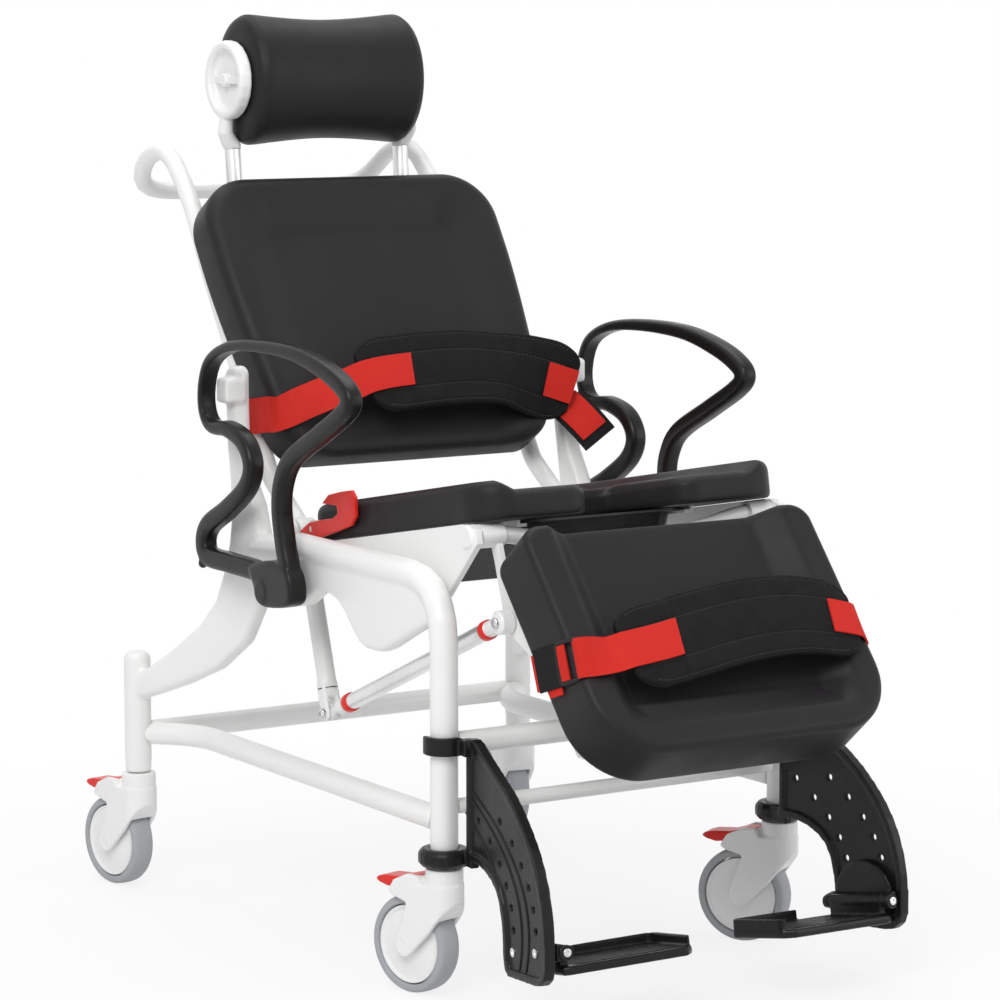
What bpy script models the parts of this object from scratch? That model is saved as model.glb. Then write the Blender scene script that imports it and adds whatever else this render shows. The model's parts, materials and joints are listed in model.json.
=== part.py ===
"""Tilt shower commode chair.

A welded base on four braked castors carries a seat unit that tilts between two side frames. The back
reclines on the seat unit, and two rods make the calf support follow it. The chair faces -Y and +X is the
seated person's left. All positions below are measured from a datum on the floor under the tilt axis line,
and the root empty moves that datum so that the origin lies under the middle of the whole chair.
"""
import math

import bmesh
import bpy
from mathutils import Matrix, Vector

# Whole chair
DATUM_TO_ORIGIN_Y = -0.112
GAP = 0.0003
RUNNING_GAP = 0.0005
BORE_GAP = 0.00015
PIN_SIDES = 12

# Seat width, which the widths of the frame follow
SEAT_HALF_WIDTH = 0.228

# Castors
WHEEL_RADIUS = 0.0625
WHEEL_TOP = 2 * WHEEL_RADIUS
TYRE_DEPTH = 0.011
HUB_RADIUS = WHEEL_RADIUS - TYRE_DEPTH
TYRE_WIDTH = 0.032
WHEEL_TRAIL = 0.049
WHEEL_SIDES = 24
WHEEL_SPACE = 0.0175
AXLE_RADIUS = 0.005
FORK_HALF_WIDTH = 0.0245
FORK_HEAD_RADIUS = 0.0250
FORK_HEAD_TOP = WHEEL_TOP + 0.0205
LEG_FOOT_Z = WHEEL_TOP + 0.042
STEM_RADIUS = 0.006
STEM_TOP_Z = LEG_FOOT_Z + 0.040
COLLAR_RADIUS = 0.0240
COLLAR_TOP_Z = LEG_FOOT_Z - 0.0008
PEDAL_AXIS = (0.0330, WHEEL_TOP + 0.0240)
PEDAL_HALF_WIDTH = 0.0160
PEDAL_POCKET = 0.0168

# Base frame tubes
LEG_X = SEAT_HALF_WIDTH + 0.030
LEG_Y = -0.223
LEG_RADIUS = 0.018
RAIL_Z = 0.5245
RAIL_RADIUS = 0.0185
ARCH_BEND = 0.08
POST_X = SEAT_HALF_WIDTH + 0.086
POST_Y = 0.507
POST_RADIUS = 0.019
POST_SIDES = 14
POST_TOP_Z = 0.338
BEAM_HALF_WIDTH = 0.014
UPRIGHT_X = SEAT_HALF_WIDTH + 0.033
GUSSET_X = (SEAT_HALF_WIDTH + 0.018, SEAT_HALF_WIDTH + 0.042)
LOW_TUBE_RADIUS = 0.016
LOW_TUBE_Z = 0.222
REAR_CROSS_RADIUS = 0.0155
FRONT_CROSS_Z = 0.321
FRONT_CROSS_RADIUS = 0.015
FRONT_LOW_CROSS_Z = 0.2415
FRONT_LOW_CROSS_RADIUS = 0.010

# Where each castor stands and the way its wheel trails, in degrees from +X
CASTORS = (
    ("front_right", -LEG_X, LEG_Y, 105.0),
    ("front_left", LEG_X, LEG_Y, 121.0),
    ("rear_right", -POST_X, POST_Y, 100.0),
    ("rear_left", POST_X, POST_Y, 80.0),
)

# Pivots of the tilting unit, as (y, z)
TILT_PIVOT = (-0.100, 0.500)
KNEE_PIVOT = (-0.240, 0.580)
BACK_PIVOT = (0.215, 0.532)
ROD_REAR_PIVOT = (0.1425, 0.298)
ROD_FRONT_PIVOT = (-0.283, 0.478)
ARM_PIVOT = (0.142, 0.468)
TILT_PIN_RADIUS = 0.008
ARM_PIN_RADIUS = 0.006

# Seat
SEAT_TILT = math.radians(10.4)
SEAT_TOP_Z = 0.604
SEAT_THICK = 0.050
SEAT_FRONT = -0.266
SEAT_REAR = 0.192
SEAT_MOUTH_HALF = 0.067
SEAT_MOUTH_ROUND = 0.029
SEAT_HOLE_HALF = 0.102
SEAT_HOLE_MIDDLE = -0.005
SEAT_SIDE_X = (SEAT_HALF_WIDTH - 0.0035, SEAT_HALF_WIDTH + 0.0065)
HUB_X = (SEAT_HALF_WIDTH - 0.0075, SEAT_HALF_WIDTH + 0.0100)
BACK_HUB_X = (SEAT_HALF_WIDTH - 0.0040, SEAT_HALF_WIDTH + 0.0100)
KNEE_TUBE_RADIUS = 0.011
BACK_SHAFT_RADIUS = 0.010
SEAT_CLIP_PIVOT = (0.148, 0.545)
CLIP_EAR_X = (SEAT_HALF_WIDTH + 0.0005, SEAT_HALF_WIDTH + 0.0042)
CLIP_X = (SEAT_HALF_WIDTH + 0.0046, SEAT_HALF_WIDTH + 0.0105)
CLIP_PIN_RADIUS = 0.0040
SHAFT_SIDES = 12

# Commode pan and its rails, in the seat's own tilted frame
PAN_HALF_WIDTH = 0.117
PAN_FLANGE = 0.128
PAN_FRONT = -0.190
PAN_REAR = 0.135
PAN_DEPTH = 0.068
PAN_WALL = 0.003

# Back
BACK_LEAN = math.radians(32.5)
BACK_CENTRE = (0.380, 0.800)
BACK_HALF_WIDTH = 0.233
BACK_HALF_HEIGHT = 0.212
BACK_TAPER = 0.018
BACK_BOLSTER = 0.038
BACK_THICK = 0.068
BACK_TUBE_X = SEAT_HALF_WIDTH - 0.018
BACK_TUBE_RADIUS = 0.013
BACK_TUBE_OFFSET = 0.0127
HEAD_POST_X = 0.136
HEAD_POST_RADIUS = 0.011
HEAD_POST_OFFSET = 0.018
HEAD_POST_TOP_Z = 1.028
HEAD_CENTRE = (0.534, 1.125)
HEAD_HALF_LENGTH = 0.1365
HEAD_HALF_DEPTH = 0.074
HEAD_HALF_HEIGHT = 0.091
HEAD_DISC_RADIUS = 0.055
HEAD_PIVOT_RADIUS = 0.026
HEAD_DISC_X = (0.1370, 0.1575)
HEAD_PIVOT_X = (0.1370, 0.1465)

# Armrests
ARM_X = SEAT_HALF_WIDTH + 0.075
ARM_HALF_WIDTH = 0.0125
ARM_HALF_DEPTH = 0.0135
ARM_BLOCK_X = (ARM_X - 0.0138, ARM_X + 0.0140)

# Calf support
CALF_LEAN = math.radians(40.0)
CALF_CENTRE = (-0.396, 0.459)
CALF_HALF_WIDTH = 0.215
CALF_HALF_HEIGHT = 0.170
CALF_THICK = 0.085
CALF_BOLSTER = 0.040
CALF_PLATE_X = (SEAT_HALF_WIDTH - 0.0375, SEAT_HALF_WIDTH - 0.0295)
ROD_RADIUS = 0.0105
ROD_PIN_RADIUS = 0.005
ROD_X = SEAT_HALF_WIDTH - 0.0175

# Footrests, laid out square to the chair and then turned out about the front leg
FOOT_TOE_OUT = math.radians(7.0)
FOOT_ARM_X = (LEG_X - 0.030, LEG_X - 0.016)
FOOT_WEB_INSET = 0.004
FOOT_RIM = 0.0102
FOOT_RING_INNER = LEG_RADIUS + RUNNING_GAP
FOOT_RING_OUTER = 0.0330
FOOT_CLIP_OUTER = 0.027
FOOT_HOLE_RADIUS = 0.0043
FOOT_RING_Z = (LEG_FOOT_Z + 0.0015, LEG_FOOT_Z + 0.0245)
FOOT_CLIP_Z = (0.310, 0.333)
FOOT_PITCH = math.radians(10.6)
FOOT_HINGE_X = LEG_X - 0.045
FOOT_HINGE_FRONT = (LEG_Y - 0.250, 0.1105)
FOOT_HINGE_LENGTH = 0.1155
FOOT_LUG = 0.010
FOOT_PIN_RADIUS = 0.004
FOOT_PIN_SIDES = 10
FOOT_BARREL_RADIUS = 0.0095
FOOTPLATE_REACH = 0.1755
FOOTPLATE_DEPTH = 0.115
FOOTPLATE_DROP = 0.028
FOOTPLATE_THICK = 0.011
FOOTPLATE_RIM = 0.0125
FOOTPLATE_RISE = math.radians(2.4)

# Straps
WEB_HALF_WIDTH = 0.0245
BELT_HALF_WIDTH = 0.056
BELT_LEVEL = -0.117
STRAP_HALF_WIDTH = 0.056
STRAP_LIFT = 0.0020
STRAP_LEVEL = -0.022


def material(name, colour, roughness, metallic=0.0):
    """A plain surface with one colour."""
    result = bpy.data.materials.new(name)
    result.use_nodes = True
    shader = result.node_tree.nodes["Principled BSDF"]
    shader.inputs["Base Color"].default_value = (*colour, 1.0)
    shader.inputs["Roughness"].default_value = roughness
    shader.inputs["Metallic"].default_value = metallic
    return result


def finish_mesh(bm):
    """Turn a closed bmesh into a mesh with its faces pointing out."""
    bmesh.ops.recalc_face_normals(bm, faces=bm.faces)
    mesh = bpy.data.meshes.new("solid")
    bm.to_mesh(mesh)
    bm.free()
    return mesh


def skin(rings, closed=False):
    """Join rings of points, each with the same count, into one closed solid."""
    bm = bmesh.new()
    loops = [[bm.verts.new(point) for point in ring] for ring in rings]
    count = len(rings[0])
    pairs = list(zip(loops, loops[1:]))
    if closed:
        pairs.append((loops[-1], loops[0]))
    for low, high in pairs:
        for i in range(count):
            j = (i + 1) % count
            bm.faces.new((low[i], low[j], high[j], high[i]))
    if not closed:
        bm.faces.new(loops[0])
        bm.faces.new(loops[-1])
    return finish_mesh(bm)


def circle(radius, sides):
    """Points of a regular polygon as (p, q) pairs."""
    step = 2 * math.pi / sides
    return [(radius * math.cos(i * step), radius * math.sin(i * step)) for i in range(sides)]


def bore_radius(shaft_radius, sides):
    """Corner radius of a bore with flat facets that a shaft of the same count can turn in."""
    return shaft_radius / math.cos(math.pi / sides) + BORE_GAP


def rounded_rectangle(half_p, half_q, radius, steps=2):
    """Outline of a rectangle with rounded corners, as (p, q) pairs."""
    points = []
    corners = ((1, 1, 0), (-1, 1, 90), (-1, -1, 180), (1, -1, 270))
    for sign_p, sign_q, start in corners:
        for k in range(steps + 1):
            angle = math.radians(start + 90 * k / steps)
            p = sign_p * (half_p - radius) + radius * math.cos(angle)
            q = sign_q * (half_q - radius) + radius * math.sin(angle)
            points.append((p, q))
    return points


def rounded_path(points, bend, steps=4):
    """Replace each inner corner of a path by an arc of the given bend radius."""
    points = [Vector(p) for p in points]
    path = [points[0]]
    for before, corner, after in zip(points, points[1:], points[2:]):
        way_in = (corner - before).normalized()
        way_out = (after - corner).normalized()
        turn = way_in.angle(way_out)
        if turn < math.radians(2):
            path.append(corner)
            continue
        reach = bend * math.tan(turn / 2)
        room = 0.48 * min((corner - before).length, (after - corner).length)
        reach = min(reach, room)
        start = corner - way_in * reach
        end = corner + way_out * reach
        for k in range(steps + 1):
            t = k / steps
            path.append(start.lerp(corner, t).lerp(corner.lerp(end, t), t))
    path.append(points[-1])
    return path


def smooth_path(points, per_span, closed=False):
    """Points along a smooth curve that passes through the given points."""
    points = [Vector(p) for p in points]
    count = len(points)
    spans = count if closed else count - 1
    path = []
    for i in range(spans):
        if closed:
            p0, p1, p2, p3 = (points[(i + k) % count] for k in (-1, 0, 1, 2))
        else:
            p0, p1, p2, p3 = (points[min(max(i + k, 0), count - 1)] for k in (-1, 0, 1, 2))
        for k in range(per_span):
            t = k / per_span
            part_a = 2 * p1 + (p2 - p0) * t
            part_b = (2 * p0 - 5 * p1 + 4 * p2 - p3) * t * t
            part_c = (3 * p1 - p0 - 3 * p2 + p3) * t * t * t
            path.append((part_a + part_b + part_c) / 2)
    if not closed:
        path.append(points[-1])
    return path


def thinned(path, turn):
    """Drop the points of a closed path where it bends little, so that bends keep their points."""
    kept = []
    bent = 0.0
    count = len(path)
    for i in range(count):
        way_in = path[i] - path[i - 1]
        way_out = path[(i + 1) % count] - path[i]
        bent += way_in.angle(way_out)
        if bent >= turn or not kept:
            kept.append(path[i])
            bent = 0.0
    return kept


def sweep(path, sections, side, closed=False):
    """Carry a section, or one section per point, along a path; side is the section's first axis."""
    path = [Vector(p) for p in path]
    count = len(path)
    if not isinstance(sections[0], list):
        sections = [list(sections)] * count
    side = Vector(side).normalized()
    rings = []
    for i, (point, section) in enumerate(zip(path, sections)):
        before = path[i - 1] if (i > 0 or closed) else point
        after = path[(i + 1) % count] if (i < count - 1 or closed) else point
        forward = (after - before).normalized()
        first = (side - forward * side.dot(forward)).normalized()
        second = forward.cross(first)
        rings.append([point + first * p + second * q for p, q in section])
        side = first
    return skin(rings, closed)


def tube(path, radius, sides=12, side=(1, 0, 0)):
    """A round bar along a path."""
    return sweep(path, circle(radius, sides), side)


def signed_area(outline):
    """Twice the area of an outline, positive when it runs counter-clockwise."""
    total = 0.0
    for (a, b), (c, d) in zip(outline, outline[1:] + outline[:1]):
        total += a * d - b * c
    return total


def inset(outline, distance):
    """Move a counter-clockwise outline inwards by a distance."""
    count = len(outline)
    moved = []
    for i in range(count):
        here = Vector(outline[i])
        edge_in = (here - Vector(outline[i - 1])).normalized()
        edge_out = (Vector(outline[(i + 1) % count]) - here).normalized()
        normal_in = Vector((-edge_in.y, edge_in.x))
        normal_out = Vector((-edge_out.y, edge_out.x))
        middle = normal_in + normal_out
        scale = max(0.35, middle.length_squared / 2)
        moved.append(tuple(here + middle * distance / scale))
    return moved


AXIS_FRAMES = {
    "x": lambda p, q, h: (h, p, q),
    "y": lambda p, q, h: (p, h, q),
    "z": lambda p, q, h: (p, q, h),
}


def prism(outline, low, high, axis="x", edge=0.0):
    """Extrude an outline along an axis, with its two rims chamfered by edge."""
    outline = [tuple(p) for p in outline]
    if signed_area(outline) < 0:
        outline.reverse()
    place = AXIS_FRAMES[axis]
    levels = [(outline, low), (outline, high)]
    if edge:
        inner = inset(outline, edge)
        levels = [(inner, low), (outline, low + edge), (outline, high - edge), (inner, high)]
    return skin([[place(p, q, h) for p, q in ring] for ring, h in levels])


def disc_outline(centre, radius, sides=16):
    """A round outline about a centre."""
    return [(centre[0] + p, centre[1] + q) for p, q in circle(radius, sides)]


def arc_outline(centre, inner, outer, start, end, steps=10):
    """A part of a ring between two angles in degrees."""
    angles = [math.radians(start + (end - start) * k / steps) for k in range(steps + 1)]
    far = [(centre[0] + outer * math.cos(a), centre[1] + outer * math.sin(a)) for a in angles]
    near = [(centre[0] + inner * math.cos(a), centre[1] + inner * math.sin(a)) for a in reversed(angles)]
    return far + near


def turned(profile, sides=16):
    """Turn a profile of (radius, height) pairs about the Z axis; both ends lie on the axis."""
    bm = bmesh.new()
    rings = []
    for radius, height in profile:
        if radius == 0:
            rings.append([bm.verts.new((0, 0, height))])
        else:
            rings.append([bm.verts.new((p, q, height)) for p, q in circle(radius, sides)])
    for low, high in zip(rings, rings[1:]):
        for i in range(sides):
            j = (i + 1) % sides
            corners = [low[i % len(low)], low[j % len(low)], high[j % len(high)], high[i % len(high)]]
            corners = list(dict.fromkeys(corners))
            bm.faces.new(corners)
    return finish_mesh(bm)


def turned_ring(profile, sides=24):
    """Turn a closed profile of (radius, height) pairs that stays off the axis."""
    step = 2 * math.pi / sides
    rings = []
    for i in range(sides):
        angle = i * step
        rings.append([(r * math.cos(angle), r * math.sin(angle), h) for r, h in profile])
    return skin(rings, closed=True)


def moved(mesh, matrix):
    """The same mesh carried by a matrix; a mirrored one is turned outside again."""
    mesh.transform(matrix)
    if matrix.determinant() < 0:
        mesh.flip_normals()
    return mesh


def mirrored(mesh):
    """A copy for the right side of the chair."""
    return moved(mesh.copy(), Matrix.Scale(-1, 4, Vector((1, 0, 0))))


def combine(base, tool, operation):
    """Join two closed meshes or cut one by the other."""
    pieces = []
    for mesh in (base, tool):
        piece = bpy.data.objects.new("work", mesh)
        bpy.context.scene.collection.objects.link(piece)
        pieces.append(piece)
    modifier = pieces[0].modifiers.new("combine", "BOOLEAN")
    modifier.operation = operation
    modifier.solver = "EXACT"
    modifier.object = pieces[1]
    bpy.context.view_layer.update()
    graph = bpy.context.evaluated_depsgraph_get()
    result = bpy.data.meshes.new_from_object(pieces[0].evaluated_get(graph))
    for piece in pieces:
        bpy.data.objects.remove(piece)
    bm = bmesh.new()
    bm.from_mesh(result)
    bmesh.ops.remove_doubles(bm, verts=bm.verts, dist=1e-6)
    bmesh.ops.dissolve_degenerate(bm, edges=bm.edges, dist=1e-6)
    bm.to_mesh(result)
    bm.free()
    return result


def union(first, *others):
    """One solid from several that touch."""
    for other in others:
        first = combine(first, other, "UNION")
    return first


def cut(first, *tools):
    """A solid less its cutters."""
    for tool in tools:
        first = combine(first, tool, "DIFFERENCE")
    return first


def rod_x(centre, radius, low, high, sides=PIN_SIDES):
    """A round bar along X at (y, z)."""
    return prism(disc_outline(centre, radius, sides), low, high, "x")


def box(x_range, y_range, z_range, edge=0.0):
    """A block given by its three ranges."""
    outline = [
        (x_range[0], y_range[0]),
        (x_range[1], y_range[0]),
        (x_range[1], y_range[1]),
        (x_range[0], y_range[1]),
    ]
    return prism(outline, z_range[0], z_range[1], "z", edge)


class Frame:
    """A tilted plane in the chair: across is X, up lies in the plane and front stands out of it."""

    def __init__(self, centre, lean):
        self.origin = Vector((0, centre[0], centre[1]))
        self.up = Vector((0, math.sin(lean), math.cos(lean)))
        self.front = Vector((0, -math.cos(lean), math.sin(lean)))

    def at(self, across, up, front):
        """World point of plane coordinates."""
        return self.origin + Vector((across, 0, 0)) + self.up * up + self.front * front

    def yz(self, up, front):
        """The same as (y, z) only."""
        point = self.at(0, up, front)
        return point.y, point.z


BACK = Frame(BACK_CENTRE, BACK_LEAN)
CALF = Frame(CALF_CENTRE, CALF_LEAN)
SEAT = Frame((0.0, SEAT_TOP_Z), math.radians(90) + SEAT_TILT)


def seat_point(across, along, height):
    """World point of the seat's frame: along runs to the rear and height stands off the seat's top."""
    return SEAT.at(across, along, height)


def seat_bottom(y):
    """Height of the seat pad's underside at a place along the chair."""
    return SEAT_TOP_Z - SEAT_THICK / math.cos(SEAT_TILT) - math.tan(SEAT_TILT) * y


ROOT = None


def add(name, mesh, surface, origin=(0, 0, 0)):
    """Put a solid in the chair with its own origin, on its joint's axis where it moves."""
    origin = Vector(origin)
    mesh.transform(Matrix.Translation(-origin))
    mesh.name = name
    mesh.materials.clear()
    mesh.materials.append(surface)
    mesh.shade_smooth()
    mesh.set_sharp_from_angle(angle=math.radians(38))
    piece = bpy.data.objects.new(name, mesh)
    piece.location = origin
    piece.parent = ROOT
    bpy.context.scene.collection.objects.link(piece)
    return piece


def add_pair(name, mesh, surface, origin=(0, 0, 0)):
    """Put a left solid and its mirrored right twin in the chair."""
    right = mirrored(mesh)
    add(name + "_left", mesh, surface, origin)
    add(name + "_right", right, surface, (-origin[0], origin[1], origin[2]))


# Base

def rear_post():
    """The upright socket of a rear castor, with a domed top and the stem's bore below."""
    bore = bore_radius(STEM_RADIUS, POST_SIDES)
    profile = [
        (0, STEM_TOP_Z + 0.002),
        (bore, STEM_TOP_Z + 0.002),
        (bore, LEG_FOOT_Z),
        (POST_RADIUS - 0.0006, LEG_FOOT_Z),
        (POST_RADIUS - 0.0006, LEG_FOOT_Z + 0.0178),
        (POST_RADIUS, LEG_FOOT_Z + 0.0186),
        (POST_RADIUS, POST_TOP_Z - 0.010),
        (POST_RADIUS - 0.0025, POST_TOP_Z - 0.0035),
        (POST_RADIUS - 0.0075, POST_TOP_Z - 0.0007),
        (0, POST_TOP_Z),
    ]
    return moved(turned(profile, POST_SIDES), Matrix.Translation((POST_X, POST_Y, 0)))


def rear_beam():
    """The swan-necked beam from the rear post up to the armrest's stop."""
    stations = [
        (POST_X, 0.507, 0.284, 0.0165),
        (POST_X - 0.008, 0.468, 0.300, 0.020),
        (UPRIGHT_X + 0.029, 0.415, 0.327, 0.027),
        (UPRIGHT_X + 0.013, 0.355, 0.362, 0.035),
        (UPRIGHT_X + 0.002, 0.312, 0.402, 0.041),
        (UPRIGHT_X, 0.281, 0.452, 0.044),
        (UPRIGHT_X, 0.264, 0.508, 0.041),
        (UPRIGHT_X, 0.272, 0.560, 0.029),
        (UPRIGHT_X, 0.290, 0.605, 0.0175),
        (UPRIGHT_X, 0.301, 0.650, 0.0145),
        (UPRIGHT_X, 0.303, 0.700, 0.0140),
        (UPRIGHT_X, 0.303, 0.742, 0.0140),
        (UPRIGHT_X, 0.303, 0.749, 0.0095),
    ]
    path = [station[:3] for station in stations]
    sections = []
    for i, station in enumerate(stations):
        half_x = BEAM_HALF_WIDTH - (0.004 if i == len(stations) - 1 else 0.0)
        sections.append(rounded_rectangle(half_x, station[3], 0.0095, 2))
    return sweep(path, sections, (1, 0, 0))


def arm_stop():
    """The block on the upright that the closed armrest leans on."""
    return box((UPRIGHT_X - 0.0035, ARM_X - 0.0158), (0.2860, 0.3165), (0.6995, 0.7345), 0.003)


def front_arch():
    """Top rail and front leg bent from one tube."""
    corners = [
        (LEG_X, 0.250, 0.510),
        (LEG_X, 0.130, RAIL_Z),
        (LEG_X, LEG_Y, RAIL_Z),
        (LEG_X, LEG_Y, LEG_FOOT_Z),
    ]
    path = rounded_path(corners, ARCH_BEND, 5)
    straight = len(path) - 6
    sections = [circle(RAIL_RADIUS if i < straight else LEG_RADIUS, 14) for i in range(len(path))]
    return sweep(path, sections, (1, 0, 0))


def gusset():
    """The plate under the rail, with the armrest's lobe behind it."""
    outline = [
        (-0.217, 0.512),
        (-0.217, 0.477),
        (-0.149, 0.446),
        (-0.104, 0.424),
        (-0.085, 0.4175),
        (-0.067, 0.416),
        (-0.047, 0.4165),
        (-0.031, 0.421),
        (-0.011, 0.438),
        (0.007, 0.456),
        (0.025, 0.468),
        (0.048, 0.4745),
        (0.072, 0.4735),
        (0.090, 0.462),
        (0.112, 0.4495),
        (0.142, 0.4445),
        (0.178, 0.451),
        (0.205, 0.467),
        (0.234, 0.492),
        (0.234, 0.518),
        (-0.190, 0.528),
    ]
    return prism(outline, *GUSSET_X, "x", 0.005)


def side_frame():
    """One welded side of the base."""
    frame = union(front_arch(), gusset(), rear_beam(), rear_post(), arm_stop())
    arm_pin = rod_x(ARM_PIVOT, ARM_PIN_RADIUS, GUSSET_X[1] - 0.006, ARM_BLOCK_X[0] + 0.014)
    frame = union(frame, arm_pin)
    bore = bore_radius(STEM_RADIUS, PIN_SIDES)
    stem_outline = disc_outline((LEG_X, LEG_Y), bore, PIN_SIDES)
    stem_hole = prism(stem_outline, LEG_FOOT_Z - 0.01, STEM_TOP_Z + 0.002, "z")
    pin_bore = bore_radius(TILT_PIN_RADIUS, PIN_SIDES)
    pin_hole = rod_x(TILT_PIVOT, pin_bore, GUSSET_X[0] - 0.01, GUSSET_X[0] + 0.0155)
    return cut(frame, stem_hole, pin_hole)


def upright_bar(x, y, radius):
    """A tall cutter round a leg or post, so that a tube ends on it."""
    return prism(disc_outline((x, y), radius + GAP, 24), 0.12, 0.40, "z")


def low_tube():
    """The tube low at the side, from the rear post to the front leg."""
    path = rounded_path(
        [
            (POST_X, POST_Y, LOW_TUBE_Z),
            (LEG_X - 0.008, 0.440, LOW_TUBE_Z),
            (LEG_X, LEG_Y, LOW_TUBE_Z + 0.003),
        ],
        0.11,
        5,
    )
    bar = tube(path, LOW_TUBE_RADIUS, 14, (0, 0, 1))
    across = rod_x((POST_Y, LOW_TUBE_Z), REAR_CROSS_RADIUS + GAP, 0.10, 0.40, 24)
    return cut(
        bar,
        upright_bar(POST_X, POST_Y, POST_RADIUS),
        upright_bar(LEG_X, LEG_Y, LEG_RADIUS),
        across,
    )


def cross_tube(y, z, radius, x, end_radius):
    """A straight tube between two legs or posts, cut to their round."""
    bar = rod_x((y, z), radius, -x, x, 14)
    return cut(bar, upright_bar(x, y, end_radius), upright_bar(-x, y, end_radius))


def build_base(white):
    add_pair("side_frame", side_frame(), white)
    add_pair("low_tube", low_tube(), white)
    add("rear_cross_tube", cross_tube(POST_Y, LOW_TUBE_Z, REAR_CROSS_RADIUS, POST_X, POST_RADIUS), white)
    upper = cross_tube(LEG_Y, FRONT_CROSS_Z, FRONT_CROSS_RADIUS, LEG_X, LEG_RADIUS)
    add("front_cross_tube", upper, white)
    lower = cross_tube(LEG_Y, FRONT_LOW_CROSS_Z, FRONT_LOW_CROSS_RADIUS, LEG_X, LEG_RADIUS)
    add("front_low_cross_tube", lower, white)


# Castors, built with the stem on Z and the wheel trailing along +X

def fork_profile():
    """Side view of the fork: round head, raked arms about the axle and the pedal's housing, as (along, z)."""
    outline = [
        (-FORK_HEAD_RADIUS - 0.001, FORK_HEAD_TOP),
        (-FORK_HEAD_RADIUS - 0.001, WHEEL_TOP + 0.002),
        (-FORK_HEAD_RADIUS + 0.001, WHEEL_TOP - 0.003),
        (0.0050, WHEEL_RADIUS + 0.0226),
    ]
    for k in range(7):
        angle = math.radians(-132 + 142 * k / 6)
        outline.append((WHEEL_TRAIL + 0.0145 * math.cos(angle), WHEEL_RADIUS + 0.0145 * math.sin(angle)))
    return outline + [
        (0.0470, WHEEL_TOP - 0.0175),
        (0.0440, WHEEL_TOP - 0.0066),
        (0.0681, WHEEL_TOP - 0.0009),
        (0.0754, WHEEL_TOP + 0.0043),
        (0.0660, WHEEL_TOP + 0.0195),
        (0.0430, WHEEL_TOP + 0.0300),
        (0.0255, WHEEL_TOP + 0.0300),
        (0.0215, FORK_HEAD_TOP),
    ]


def fork_plan():
    """Fork seen from above: a round head and two straight sides."""
    outline = [(0.085, -FORK_HALF_WIDTH), (0.085, FORK_HALF_WIDTH)]
    for k in range(11):
        angle = math.radians(100 + 160 * k / 10)
        outline.append((FORK_HEAD_RADIUS * math.cos(angle), FORK_HEAD_RADIUS * math.sin(angle)))
    return outline


def castor_fork():
    """Swivel head, two arms beside the wheel, the axle and the stem."""
    body = prism(fork_profile(), -0.03, 0.03, "y")
    body = combine(body, prism(fork_plan(), 0.0, 0.2, "z"), "INTERSECT")
    collar = prism(disc_outline((0, 0), COLLAR_RADIUS, 18), FORK_HEAD_TOP - 0.004, COLLAR_TOP_Z, "z", 0.001)
    stem = prism(disc_outline((0, 0), STEM_RADIUS, 12), COLLAR_TOP_Z - 0.004, STEM_TOP_Z, "z")
    wheel_room = disc_outline((WHEEL_TRAIL, WHEEL_RADIUS), WHEEL_RADIUS + 0.0045, 20)
    pocket = [
        (PEDAL_AXIS[0] - 0.0065, WHEEL_TOP + 0.0210),
        (PEDAL_AXIS[0], WHEEL_TOP + 0.0190),
        (0.0620, WHEEL_TOP + 0.0080),
        (0.0660, WHEEL_TOP - 0.0040),
        (0.0900, WHEEL_TOP - 0.0040),
        (0.0900, WHEEL_TOP + 0.0500),
        (PEDAL_AXIS[0] - 0.0065, WHEEL_TOP + 0.0500),
    ]
    fork = union(body, collar, stem)
    fork = cut(
        fork,
        prism(wheel_room, -WHEEL_SPACE, WHEEL_SPACE, "y"),
        prism(pocket, -PEDAL_POCKET, PEDAL_POCKET, "y"),
    )
    reach = FORK_HALF_WIDTH - 0.002
    axle = prism(disc_outline((WHEEL_TRAIL, WHEEL_RADIUS), AXLE_RADIUS, 12), -reach, reach, "y")
    return union(fork, axle)


def castor_tyre():
    """The tyre, turned about the axle's own Z."""
    half = TYRE_WIDTH / 2
    inner = HUB_RADIUS + GAP
    profile = [
        (inner, -half),
        (WHEEL_RADIUS - 0.007, -half),
        (WHEEL_RADIUS - 0.002, -half + 0.005),
        (WHEEL_RADIUS, 0),
        (WHEEL_RADIUS - 0.002, half - 0.005),
        (WHEEL_RADIUS - 0.007, half),
        (inner, half),
    ]
    return turned_ring(profile, WHEEL_SIDES)


def castor_hub():
    """The wheel's disc with its bore, turned about the axle's own Z."""
    half = TYRE_WIDTH / 2 - 0.001
    bore = bore_radius(AXLE_RADIUS, WHEEL_SIDES)
    profile = [(bore, -half), (HUB_RADIUS, -half), (HUB_RADIUS, half), (bore, half)]
    return turned_ring(profile, WHEEL_SIDES)


def brake_pedal():
    """The foot pedal in the fork's housing, with a drooping tip behind it."""
    outline = [
        (PEDAL_AXIS[0] - 0.0050, WHEEL_TOP + 0.0245),
        (PEDAL_AXIS[0] - 0.0030, WHEEL_TOP + 0.0215),
        (PEDAL_AXIS[0] + 0.0030, WHEEL_TOP + 0.0215),
        (0.0600, WHEEL_TOP + 0.0150),
        (0.0680, WHEEL_TOP + 0.0130),
        (0.0740, WHEEL_TOP + 0.0080),
        (0.0850, WHEEL_TOP + 0.0065),
        (0.0990, WHEEL_TOP + 0.0095),
        (0.1050, WHEEL_TOP + 0.0130),
        (0.1020, WHEEL_TOP + 0.0170),
        (0.0920, WHEEL_TOP + 0.0200),
        (0.0660, WHEEL_TOP + 0.0220),
        (0.0430, WHEEL_TOP + 0.0285),
        (PEDAL_AXIS[0] - 0.0030, WHEEL_TOP + 0.0285),
    ]
    return prism(outline, -PEDAL_HALF_WIDTH, PEDAL_HALF_WIDTH, "y", 0.0015)


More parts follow.
